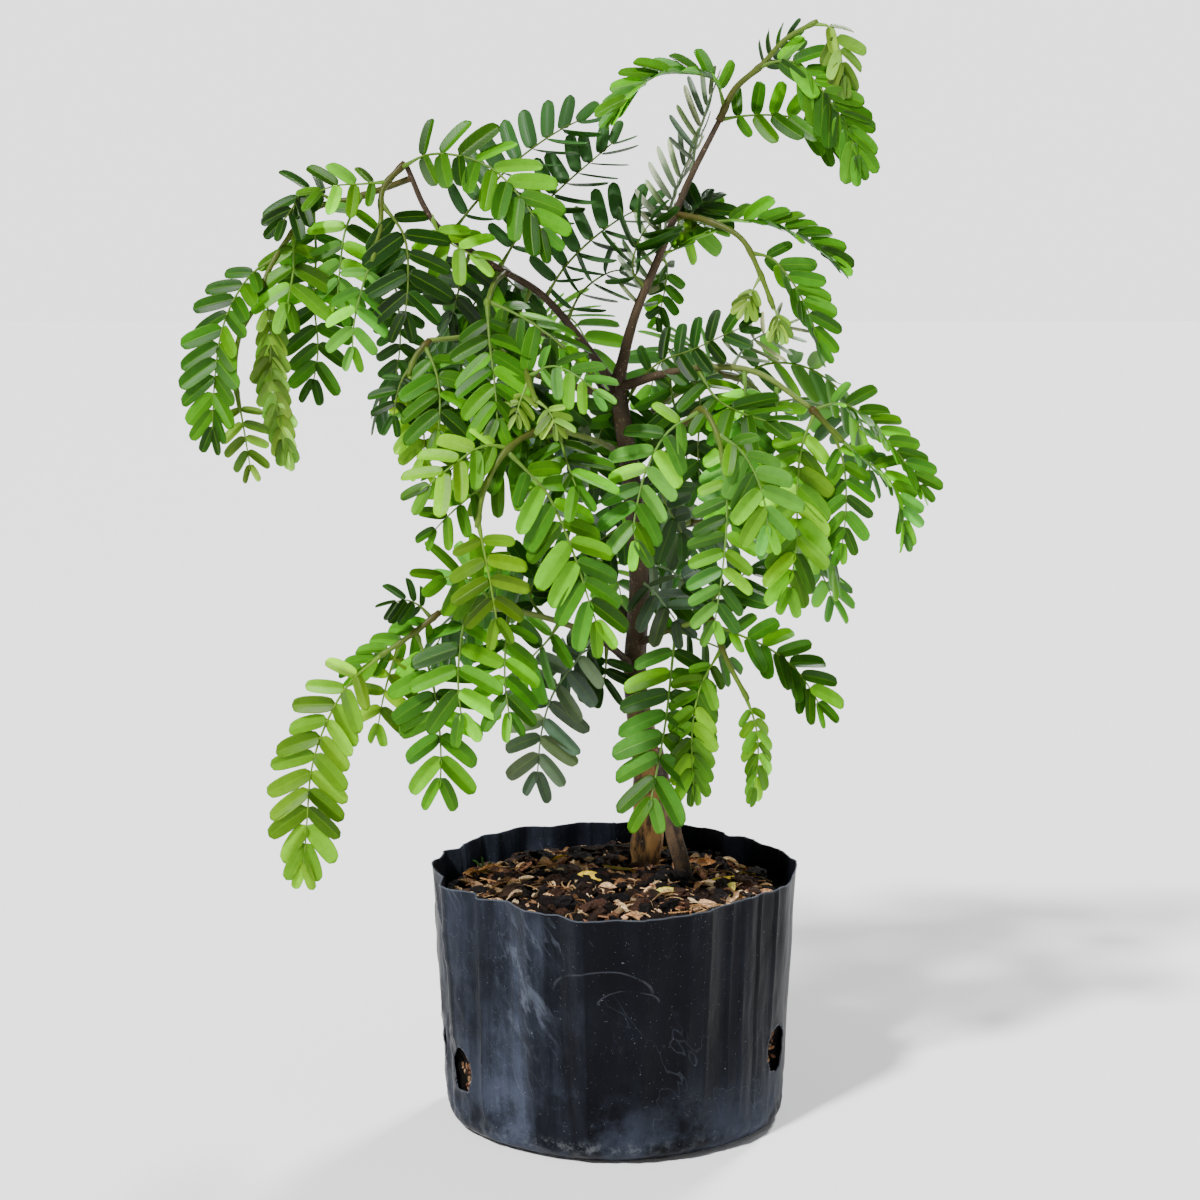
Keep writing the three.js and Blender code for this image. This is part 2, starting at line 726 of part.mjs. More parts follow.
// The places, stems and leaves of every spray, before any leaflet is laid.
function planSprays() {
  const plans = [];
  for (const [name, spray] of Object.entries({ ...SPRAYS, ...FAR_SPRAYS })) {
    const limb = LIMBS[spray.from];
    let stem = null;
    if (spray.stem) {
      const points = spray.stem.map(seen);
      points[0] = nearestOn(limb, points[0]);
      stem = evenLine(points, 20);
    }
    const carrier = stem || limb;
    const leaves = Array.isArray(spray.leaves)
      ? spray.leaves.map((entry) => ({ entry, curve: ribLine(carrier, entry) }))
      : farLeaves(stem, spray.leaves, seededDraw(spray.seed));
    plans.push({ name, spray, stem, leaves });
  }
  return plans;
}

// Leaves turned to alternate sides of a far stem, the last one straight on.
function farLeaves(stem, count, draw) {
  const leaves = [];
  const curve = new THREE.CatmullRomCurve3(stem, false, 'centripetal');
  for (let i = 0; i < count; i += 1) {
    const share = i / (count - 1);
    const along = curve.getTangentAt(share);
    const side = i === count - 1 ? 0 : (i % 2 ? 1 : -1) * (78 - 22 * share);
    const heading = Math.atan2(along.x, along.y) + THREE.MathUtils.degToRad(side);
    const length = 96 + 18 * draw();
    const curl = archLine(curve.getPointAt(share), heading, length, 34 - 30 * share, -66 - 12 * draw());
    leaves.push({ entry: { size: LEAFLET_LENGTH, fold: 12, turn: 0, far: true }, curve: curl });
  }
  return leaves;
}

// Lays the stems and ribs first, then the leaflets, starting with the leaves nearest the viewer.
function layLeaves(plans) {
  for (const [name, line] of Object.entries(LIMBS)) {
    noteLine(name, line, limbRadii(name));
  }
  const all = [];
  for (const plan of plans) {
    if (plan.stem) {
      noteLine(plan.name, plan.stem, taper(plan.stem, plan.spray.thick || [1.8, 1.2]));
    }
    plan.leaves.forEach((leafPlan, i) => {
      leafPlan.owner = `${plan.name}_${i}`;
      leafPlan.spots = stations(leafPlan.entry, leafPlan.curve);
      const line = leafPlan.spots.map((spot) => spot.centre);
      noteLine(leafPlan.owner, line, line.map(() => RIB_WIDTH / 2));
      all.push(leafPlan);
    });
  }
  all.sort((first, second) => first.curve.getPointAt(0.5).y - second.curve.getPointAt(0.5).y);
  all.forEach((leafPlan, i) => layLeaflets(leafPlan, seededDraw(100 + i)));
}

// Pairs of leaflets along one rib.
function layLeaflets(leafPlan, draw) {
  leafPlan.blades = [];
  for (let i = 1; i + 1 < leafPlan.spots.length; i += 2) {
    const before = leafPlan.spots[i];
    const after = leafPlan.spots[i + 1];
    const spot = { ...before, centre: before.centre.clone().lerp(after.centre, 0.5) };
    const pair = [-1, 1].map((sign) => placeLeaflet(spot, sign, leafPlan, 10 * draw() - 5));
    leafPlan.blades.push(pair);
    for (const blade of pair.filter(Boolean)) {
      BLADES.push({ triangles: fill(blade.ring), middle: blade.middle, reach: blade.reach });
    }
  }
}

// One leaf as a closed body: a flat rib with its leaflets cut to it, both faces split alike.
function leafBody(leafPlan) {
  const corners = [];
  const triangles = [];
  const add = (corner) => corners.push(corner) - 1;
  const quad = (a, b, c, d) => triangles.push([a, b, c], [a, c, d]);
  const rows = leafPlan.spots.map((spot) => {
    const edge = (sign, lift) => {
      const corner = spot.centre.clone().addScaledVector(spot.side, (sign * RIB_WIDTH) / 2);
      return add(corner.addScaledVector(spot.up, (lift * RIB_THICKNESS) / 2));
    };
    return { top: [edge(-1, 1), edge(1, 1)], under: [edge(-1, -1), edge(1, -1)] };
  });
  for (let i = 0; i + 1 < rows.length; i += 1) {
    const here = rows[i];
    const next = rows[i + 1];
    quad(here.top[0], here.top[1], next.top[1], next.top[0]);
    quad(here.under[0], next.under[0], next.under[1], here.under[1]);
    const pair = i % 2 === 1 ? leafPlan.blades[(i - 1) / 2] : [null, null];
    [0, 1].forEach((which) => {
      const blade = pair[which];
      const ring = { top: [here.top[which], next.top[which]], under: [here.under[which], next.under[which]] };
      if (blade) {
        const half = LEAFLET_THICKNESS / 2;
        const tops = blade.outline.map((corner) => add(corner.clone().addScaledVector(blade.lift, half)));
        const unders = blade.outline.map((corner) => add(corner.clone().addScaledVector(blade.lift, -half)));
        ring.top.splice(1, 0, ...tops);
        ring.under.splice(1, 0, ...unders);
      }
      if (which === 0) {
        ring.top.reverse();
        ring.under.reverse();
      }
      fill(ring.top).forEach((triangle) => triangles.push(triangle));
      fill(ring.under).forEach(([a, b, c]) => triangles.push([a, c, b]));
      for (let k = 0; k + 1 < ring.top.length; k += 1) {
        quad(ring.top[k], ring.under[k], ring.under[k + 1], ring.top[k + 1]);
      }
    });
  }
  const first = rows[0];
  const last = rows[rows.length - 1];
  quad(first.top[0], first.under[0], first.under[1], first.top[1]);
  quad(last.top[0], last.top[1], last.under[1], last.under[0]);
  return body(corners, triangles);
}

// The largest of a body's separate pieces.
function largest(shape) {
  const pieces = shape.decompose();
  pieces.sort((first, second) => second.volume() - first.volume());
  return pieces[0];
}

// A spray: its green stem and its leaves in one body, cut back where it meets the wood.
function sprayBody(plan, grownWood) {
  let shape = plan.stem ? stemBody(plan.stem, taper(plan.stem, plan.spray.thick || [1.8, 1.2]), 5) : null;
  for (const leafPlan of plan.leaves) {
    const blade = leafBody(leafPlan);
    shape = shape ? shape.add(blade) : blade;
  }
  return largest(shape.subtract(grownWood));
}

// How near an angle lies to one of the bag's two flat edges, from 0 at the front and back to 1.
function edgeShare(angle) {
  return Math.sin(angle) ** 4;
}

// How near an angle lies to the middle of a front quarter, where the film is pulled in and up.
function quarterShare(angle) {
  return Math.cos(angle) > 0 ? Math.abs(Math.sin(2 * angle)) ** 3 : 0;
}

// Outer radius of the bag at a height and an angle from the front, before the pleats.
function bagRadius(height, angle) {
  const corner = BAG_CORNER_RADIUS + (FLAT_EDGE_CORNER_RADIUS - BAG_CORNER_RADIUS) * edgeShare(angle);
  const foot = BAG_FOOT_RADIUS + FOOT_SPREAD * edgeShare(angle);
  const rim = BAG_RIM_RADIUS - QUARTER_DENT * quarterShare(angle);
  if (height < corner) {
    const rise = 1 - height / corner;
    return foot - corner * (1 - Math.sqrt(1 - rise * rise));
  }
  return foot + (rim - foot) * ((height - corner) / (BAG_HEIGHT - corner));
}

// How far the rim rises at an angle: to a peak at each flat edge, and a little in the front quarters.
function rimRise(angle) {
  return FLAT_EDGE_RISE * Math.sin(angle) ** 60 + QUARTER_RISE * quarterShare(angle);
}

// Folds of the bag: for each crest and hollow an angle, a push in or out, and a lift of the rim.
function bagFolds() {
  const draw = seededDraw(7);
  const folds = [];
  for (let i = 0; i < BAG_PLEATS * 2; i += 1) {
    const angle = (Math.PI * (i + 1 + 0.5 * (draw() - 0.5))) / BAG_PLEATS;
    const push = (i % 2 ? -0.5 : 0.5) * PLEAT_DEPTH * (0.6 + 0.8 * draw());
    folds.push({ angle, push, lift: RIM_WAVE * (draw() - 0.5) + rimRise(angle) });
  }
  return folds;
}

const FOLDS = bagFolds();
const BAG_LEVELS = [0, 2, 8, 20, BAG_HEIGHT];

// One corner of the bag's surface, moved inwards by an inset.
function bagCorner(fold, height, inset) {
  const fade = Math.min(1, height / 26);
  const open = height > BAG_HEIGHT * 0.8 ? 1.35 : 1;
  const radius = bagRadius(height, fold.angle) + fold.push * fade * open - inset;
  const lift = height >= BAG_HEIGHT - 1 ? fold.lift : 0;
  return new THREE.Vector3(radius * Math.sin(fold.angle), -radius * Math.cos(fold.angle), height + lift);
}

// A closed body from rings of corners stacked from the bottom to the top, each end closed at a middle point.
function ringBody(rings, bottomMiddle, topMiddle) {
  const corners = [bottomMiddle, ...rings.flat(), topMiddle];
  const count = rings[0].length;
  const triangles = [];
  for (let k = 0; k < count; k += 1) {
    const next = (k + 1) % count;
    triangles.push([0, 1 + next, 1 + k]);
    for (let i = 0; i + 1 < rings.length; i += 1) {
      const here = 1 + i * count;
      const after = here + count;
      if (rings[i + 1][0].z < rings[i][0].z) {
        triangles.push([here + k, here + next, after + k], [here + next, after + next, after + k]);
      } else {
        triangles.push([here + k, here + next, after + next], [here + k, after + next, after + k]);
      }
    }
    const rim = 1 + (rings.length - 1) * count;
    triangles.push([rim + k, rim + next, corners.length - 1]);
  }
  return body(corners, triangles);
}

function levelRing(height, inset, lift) {
  return FOLDS.map((fold) => bagCorner(fold, height, inset).add(new THREE.Vector3(0, 0, lift)));
}

// Thin pleated shell with a wavy rim, a rounded foot and torn drain holes.
function bagBody() {
  const outside = BAG_LEVELS.map((height) => levelRing(height, 0, 0));
  const inside = BAG_LEVELS.slice(1).map((height) => levelRing(height, BAG_WALL, height < 10 ? BAG_WALL : 0));
  const rings = [...outside, ...inside.reverse()];
  const shell = ringBody(rings, new THREE.Vector3(0, 0, 0), new THREE.Vector3(0, 0, BAG_LEVELS[1] + BAG_WALL));
  return DRAIN_HOLES.reduce((bag, hole) => bag.subtract(drainCutter(hole)), shell);
}

// Drain holes near the bag's two flat edges: angle from the front, height, and size against the usual.
const DRAIN_HOLES = [
  { name: 'left_front', angle: -64.5, height: 37, wide: 0.85, tall: 0.95 },
  { name: 'left_edge', angle: -87, height: 42, wide: 0.6, tall: 0.75 },
  { name: 'left_back', angle: -118, height: 44, wide: 0.8, tall: 0.9 },
  { name: 'right_front', angle: 69.5, height: 47, wide: 0.85, tall: 1 },
  { name: 'right_back', angle: 110, height: 50, wide: 0.8, tall: 0.9 },
];

function drainCutter(hole) {
  const sides = 9;
  const angle = THREE.MathUtils.degToRad(hole.angle);
  const outward = new THREE.Vector3(Math.sin(angle), -Math.cos(angle), 0);
  const across = new THREE.Vector3(Math.cos(angle), Math.sin(angle), 0);
  const draw = seededDraw(Math.round(200 + hole.angle));
  const shape = Array.from({ length: sides }, (unused, k) => {
    const turn = (2 * Math.PI * k) / sides;
    const radius = DRAIN_HOLE_RADIUS * (0.86 + 0.28 * draw());
    return [radius * hole.wide * Math.cos(turn), hole.height + radius * hole.tall * Math.sin(turn)];
  });
  const ringAt = (distance) => shape.map(([wide, height]) => {
    const corner = outward.clone().multiplyScalar(distance).addScaledVector(across, wide);
    return corner.setZ(height);
  });
  const middleAt = (distance) => outward.clone().multiplyScalar(distance).setZ(hole.height);
  return ringBody([ringAt(60), ringAt(130)], middleAt(60), middleAt(130));
}

// Height of the potting mix at a share of the way from the middle to the edge.
function soilHeight(share) {
  return SOIL_MIDDLE_HEIGHT + (SOIL_EDGE_HEIGHT - SOIL_MIDDLE_HEIGHT) * share * share;
}

// A corner on the straight upper part of the bag's wall.
function wallCorner(fold, height, inset) {
  const low = bagCorner(fold, BAG_LEVELS.at(-2), inset);
  const high = bagCorner(fold, BAG_LEVELS.at(-1), inset);
  return low.clone().lerp(high, (height - low.z) / (high.z - low.z));
}

// Potting mix that fills the bag, with a lumpy top under bark chips and litter.
function soilBody() {
  const draw = seededDraw(21);
  const inset = BAG_WALL + SEAT_GAP + 0.05;
  const levels = BAG_LEVELS.slice(1, -1);
  const rings = levels.map((height) => levelRing(height, inset, height < 10 ? inset : 0));
  const edge = FOLDS.map((fold) => wallCorner(fold, SOIL_EDGE_HEIGHT + 2 * draw(), inset + 0.9));
  rings.push(edge);
  for (const share of [0.84, 0.64, 0.42, 0.2]) {
    rings.push(edge.map((corner) => {
      const lump = SOIL_ROUGHNESS * 2 * (draw() - 0.5);
      return new THREE.Vector3(corner.x * share, corner.y * share, soilHeight(share) + lump);
    }));
  }
  const bottomMiddle = new THREE.Vector3(0, 0, BAG_LEVELS[1] + inset);
  const mix = ringBody(rings, bottomMiddle, new THREE.Vector3(0, 0, SOIL_MIDDLE_HEIGHT));
  return chips().reduce((whole, chip) => whole.add(chip), mix);
}

// Bark chips lying at all angles, spread evenly and half sunk.
function chips() {
  const draw = seededDraw(33);
  const list = [];
  for (let i = 0; i < CHIP_COUNT; i += 1) {
    const share = Math.sqrt((i + 0.6) / CHIP_COUNT) * 0.9;
    const angle = i * 2.39996;
    const length = CHIP_LENGTH * (0.5 + 0.6 * draw());
    const size = new THREE.Vector3(length, length * (0.28 + 0.2 * draw()), 2.6 + 1.6 * draw());
    const tilt = new THREE.Euler(0.5 * (draw() - 0.5), 0.5 * (draw() - 0.5), 2 * Math.PI * draw(), 'ZXY');
    const radius = share * (bagRadius(SOIL_EDGE_HEIGHT, angle) - BAG_WALL - 8);
    const height = soilHeight(share) + 1.2;
    const place = new THREE.Vector3(radius * Math.sin(angle), -radius * Math.cos(angle), height);
    list.push(chipBody(size, tilt, place));
  }
  return list;
}

// A chip: a flat piece of bark, narrower at one end.
function chipBody(size, tilt, place) {
  const corner = (x, y, z) => {
    const narrow = x > 0 ? 0.6 : 1;
    const point = new THREE.Vector3(x * size.x, y * size.y * narrow, z * size.z);
    return point.applyEuler(tilt).add(place);
  };
  const low = [[-0.5, -0.5], [0.5, -0.5], [0.5, 0.5], [-0.5, 0.5]];
  const corners = [...low.map(([x, y]) => corner(x, y, -0.5)), ...low.map(([x, y]) => corner(x, y, 0.5))];
  const triangles = [[0, 2, 1], [0, 3, 2], [4, 5, 6], [4, 6, 7], [0, 1, 5], [0, 5, 4], [1, 2, 6], [1, 6, 5],
    [2, 3, 7], [2, 7, 6], [3, 0, 4], [3, 4, 7]];
  return body(corners, triangles);
}

// A plain round hole in the mix for a stem to stand in.
function stemHole(centre, radius, depth) {
  const sides = 12;
  const ringAt = (height) => Array.from({ length: sides }, (unused, k) => {
    const angle = (2 * Math.PI * k) / sides;
    return new THREE.Vector3(centre.x + radius * Math.cos(angle), centre.y + radius * Math.sin(angle), height);
  });
  const bottom = SOIL_MIDDLE_HEIGHT - depth;
  const top = SOIL_MIDDLE_HEIGHT + 12;
  const middleAt = (height) => new THREE.Vector3(centre.x, centre.y, height);
  return ringBody([ringAt(bottom), ringAt(top)], middleAt(bottom), middleAt(top));
}

// The second stem comes up beside the trunk and leans against it.
const SECOND_STEM_LINE = [[688, 880, 14], [680, 850, 16], [672, 806, 20], [663, 766, 25], [656, 738, 29]];
const SECOND_STEM_RADIUS = 4.6;

function secondStemLine() {
  const line = evenLine(SECOND_STEM_LINE.map(seen), 24);
  const foot = line[0].clone();
  const rooted = foot.clone().setZ(SOIL_MIDDLE_HEIGHT - ROOTED_DEPTH);
  return [rooted, foot.setZ(SOIL_MIDDLE_HEIGHT - 4), ...line.slice(1)];
}

// A finished node: the body as a named mesh with its own colour and finish.
function node(name, shape, color, roughness, metalness = 0) {
  const mesh = shape.getMesh();
  const geometry = new THREE.BufferGeometry();
  geometry.setAttribute('position', new THREE.BufferAttribute(new Float32Array(mesh.vertProperties), 3));
  geometry.setIndex(new THREE.BufferAttribute(new Uint32Array(mesh.triVerts), 1));
  geometry.computeVertexNormals();
  const material = new THREE.MeshStandardMaterial({ color, roughness, metalness });
  material.name = `${name}_finish`;
  const part = new THREE.Mesh(geometry, material);
  part.name = name;
  return part;
}

// Leaf colours, from the dark older leaves to the yellow-green young tips.
const LEAF_COLORS = {
  young_spray: '#a9c653',
  front_spray: '#6f9f3a',
  upper_grey_leaf: '#7d9089',
  lower_grey_leaf: '#7d9089',
  low_blue_leaf: '#55706a',
  trunk_blue_leaf: '#55706a',
  fork_dark_leaf: '#3c6630',
};

function leafColor(name) {
  return LEAF_COLORS[name] || (name.includes('dark') ? '#35602f' : '#4f8a33');
}

const group = new THREE.Group();
group.name = 'potted_tamarind';

const grownWood = woodBody(SEAT_GAP);
const secondLine = secondStemLine();
const trunkHole = stemHole(LIMBS.trunk[0], TRUNK_FOOT_RADIUS + 0.5 + SEAT_GAP + 0.5, ROOTED_DEPTH + SEAT_GAP);
const secondHole = stemHole(secondLine[0], SECOND_STEM_RADIUS + SEAT_GAP + 0.3, ROOTED_DEPTH + SEAT_GAP);
const soil = largest(soilBody().subtract(trunkHole).subtract(secondHole));
const secondStem = stemBody(secondLine, taper(secondLine, [SECOND_STEM_RADIUS, 3]), 7);

group.add(node('grow_bag', bagBody(), '#25282d', 0.5));
group.add(node('soil', soil, '#4a3324', 0.95));
group.add(node('trunk', woodBody(0), '#6b4a35', 0.85));
group.add(node('second_stem', largest(secondStem.subtract(grownWood)), '#7a6552', 0.85));

const plans = planSprays();
layLeaves(plans);
for (const plan of plans) {
  group.add(node(plan.name, sprayBody(plan, grownWood), leafColor(plan.name), 0.6));
}

export default group;
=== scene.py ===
import json
import math

import bpy
import numpy as np
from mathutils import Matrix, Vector, noise


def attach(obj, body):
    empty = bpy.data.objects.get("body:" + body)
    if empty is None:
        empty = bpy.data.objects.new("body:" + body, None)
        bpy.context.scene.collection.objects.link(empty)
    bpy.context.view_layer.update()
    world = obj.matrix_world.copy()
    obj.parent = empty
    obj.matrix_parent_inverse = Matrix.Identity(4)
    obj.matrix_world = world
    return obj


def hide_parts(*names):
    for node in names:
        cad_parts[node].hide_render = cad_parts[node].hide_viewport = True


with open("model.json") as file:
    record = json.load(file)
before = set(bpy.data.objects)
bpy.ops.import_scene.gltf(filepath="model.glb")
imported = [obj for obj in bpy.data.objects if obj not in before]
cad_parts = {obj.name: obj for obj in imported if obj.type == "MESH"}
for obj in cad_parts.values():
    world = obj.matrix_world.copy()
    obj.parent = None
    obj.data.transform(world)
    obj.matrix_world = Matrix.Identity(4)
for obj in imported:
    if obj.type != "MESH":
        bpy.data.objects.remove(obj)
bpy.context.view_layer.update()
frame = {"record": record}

MM = 0.001

# Bag
BAG_HEIGHT = 138
BAG_RIM_RADIUS = 99.5
BAG_FOOT_RADIUS = 85.5
FOOT_SPREAD = 7.5
BAG_CORNER_RADIUS = 14
FLAT_EDGE_CORNER_RADIUS = 8
QUARTER_DENT = 8
QUARTER_RISE = 1.5
BAG_FILM = 0.7
BAG_PLEATS = 18
PLEAT_DEPTH = 3.2
PLEAT_START = 20
PLEAT_FULL = 26
RIM_WAVE = 1.6
RIM_BAND = 12
FLAT_EDGE_RISE = 4
DRAIN_HOLE_RADIUS = 13
FARTHEST_REACH = 3

# Potting mix
SOIL_EDGE_HEIGHT = 122
SOIL_MIDDLE_HEIGHT = 130
SOIL_INSET = 1.9

# Plant
TRUNK_FOOT_RADIUS = 9.5
SECOND_STEM_RADIUS = 4.6
SECOND_STEM_SHARE = 0.965
ROOTED_DEPTH = 28
NECK_DEPTH = 4
TRUNK_SPACING = 52
LIMB_SPACING = 34
SECOND_STEM_SPACING = 24
SPRAY_SPACING = 20
LEAFLET_LENGTH = 26
LEAFLET_SLENDERNESS = 0.36
LEAFLET_THICKNESS = 0.4
USUAL_RAKE = 76
PAIR_SPACING = 10.8
BARE_STALK = 0.13
SHORTEST_STALK = 9
TIP_REACH = 0.5
FAR_LEAF_LENGTH = 96
FAR_LEAF_LENGTH_SPREAD = 18

# The front view that the plant's lines are read from: columns and rows, counted from the top left.
VIEW_SIZE = 1200
VIEW_MIDDLE = VIEW_SIZE / 2
VIEW_SHARPNESS = 2400
VIEW_TILT = math.radians(9.4)
EYE_SIDE = -8.3
EYE_DISTANCE = 1275
EYE_HEIGHT = 498.6


def branch(carrier, line, foot, tip):
    """A woody limb: what it springs from, its line (column, row, depth) and its radius at both ends."""
    return {"from": carrier, "line": line, "thick": (foot, tip)}


def leaf(tone, line, lean, size=LEAFLET_LENGTH, fold=4, turn=0, under=False, edge=0,
         rake=USUAL_RAKE, bare=0):
    """A leaf: its line of columns and rows, and how far its tip leans away (+) or to the viewer.

    A leaf with a fold below 0 holds its leaflets raised. The leaflets on its edge side, or on both sides
    where edge is 2, stand edge-on to the viewer. The rake is the leaflets' angle to the rib in degrees, and
    the smaller it is the closer they stand. Those on the bare side are folded away, fully at 1 or -1:
    forwards if the leaflets are raised, else back. A leaf on the far side has no line here.
    """
    return {"tone": tone, "line": line, "lean": lean, "size": size, "fold": fold, "turn": turn,
            "under": under, "edge": edge, "rake": rake, "bare": bare}


def spray(carrier, *leaves, stem=None, thick=(1.7, 1.2)):
    """Leaves on one green stem (column, row, depth), or springing straight from the wood."""
    return {"from": carrier, "leaves": leaves, "stem": stem, "thick": thick}


def far_spray(carrier, stem, seed):
    """A spray on the far side, whose leaves are set out by rule."""
    return {"from": carrier, "seed": seed, "stem": stem, "thick": (1.8, 1.2)}


WOOD = {
    "trunk": branch(None, [[645, 868, 36], [648, 800, 34], [646, 740, 30], [634, 670, 24], [639, 600, 20],
                    [638, 540, 16], [628, 460, 12], [617, 385, 8]], 8.2, 4.6),
    "leader": branch("trunk", [[617, 385, 8], [636, 312, 8], [661, 252, 6], [690, 178, 2], [719, 121, 0]],
                     4.2, 2),
    "left_branch": branch("trunk", [[619, 392, 8], [590, 352, 6], [548, 300, 0], [494, 265, -6],
                          [450, 241, -12], [428, 212, -15], [405, 163, -16]], 3.4, 1.9),
    "middle_branch": branch("trunk", [[620, 398, 9], [580, 388, -6], [535, 375, -18], [500, 352, -28],
                            [465, 332, -36], [430, 340, -44]], 3, 1.8),
    "right_branch": branch("trunk", [[618, 388, 8], [665, 373, -4], [710, 368, -14], [757, 372, -20],
                           [797, 388, -26], [811, 408, -30]], 3.2, 1.9),
    "front_branch": branch("trunk", [[628, 460, 12], [600, 442, -30], [560, 430, -60]], 2.6, 1.9),
    "front_right_branch": branch("trunk", [[638, 525, 16], [656, 480, -22], [684, 424, -50]], 2.6, 1.9),
    "low_left_branch": branch("trunk", [[634, 668, 24], [600, 640, 0], [540, 616, -25], [480, 608, -40],
                              [440, 612, -48]], 2.8, 1.8),
    "low_right_branch": branch("trunk", [[637, 645, 22], [680, 626, -10], [711, 618, -24]], 2.6, 1.8),
    "back_left_branch": branch("trunk", [[622, 420, 10], [600, 385, 32], [572, 352, 50], [548, 334, 62]], 3,
                               1.9),
    "back_right_branch": branch("trunk", [[625, 440, 11], [652, 412, 34], [690, 384, 54], [718, 374, 66]], 3,
                                1.9),
    "back_low_branch": branch("trunk", [[636, 630, 22], [612, 600, 48], [588, 584, 66]], 2.6, 1.8),
    "back_low_right_branch": branch("trunk", [[636, 560, 18], [662, 534, 44], [690, 522, 62]], 2.6, 1.8),
}
SECOND_STEM_LINE = [[686, 881, 12], [677, 850, 15], [669, 806, 20], [661, 766, 25], [656, 738, 29]]
# Where the second stem's groove lies around it, in turn from the tube's first corner.
GROOVE_TURN = 4.2

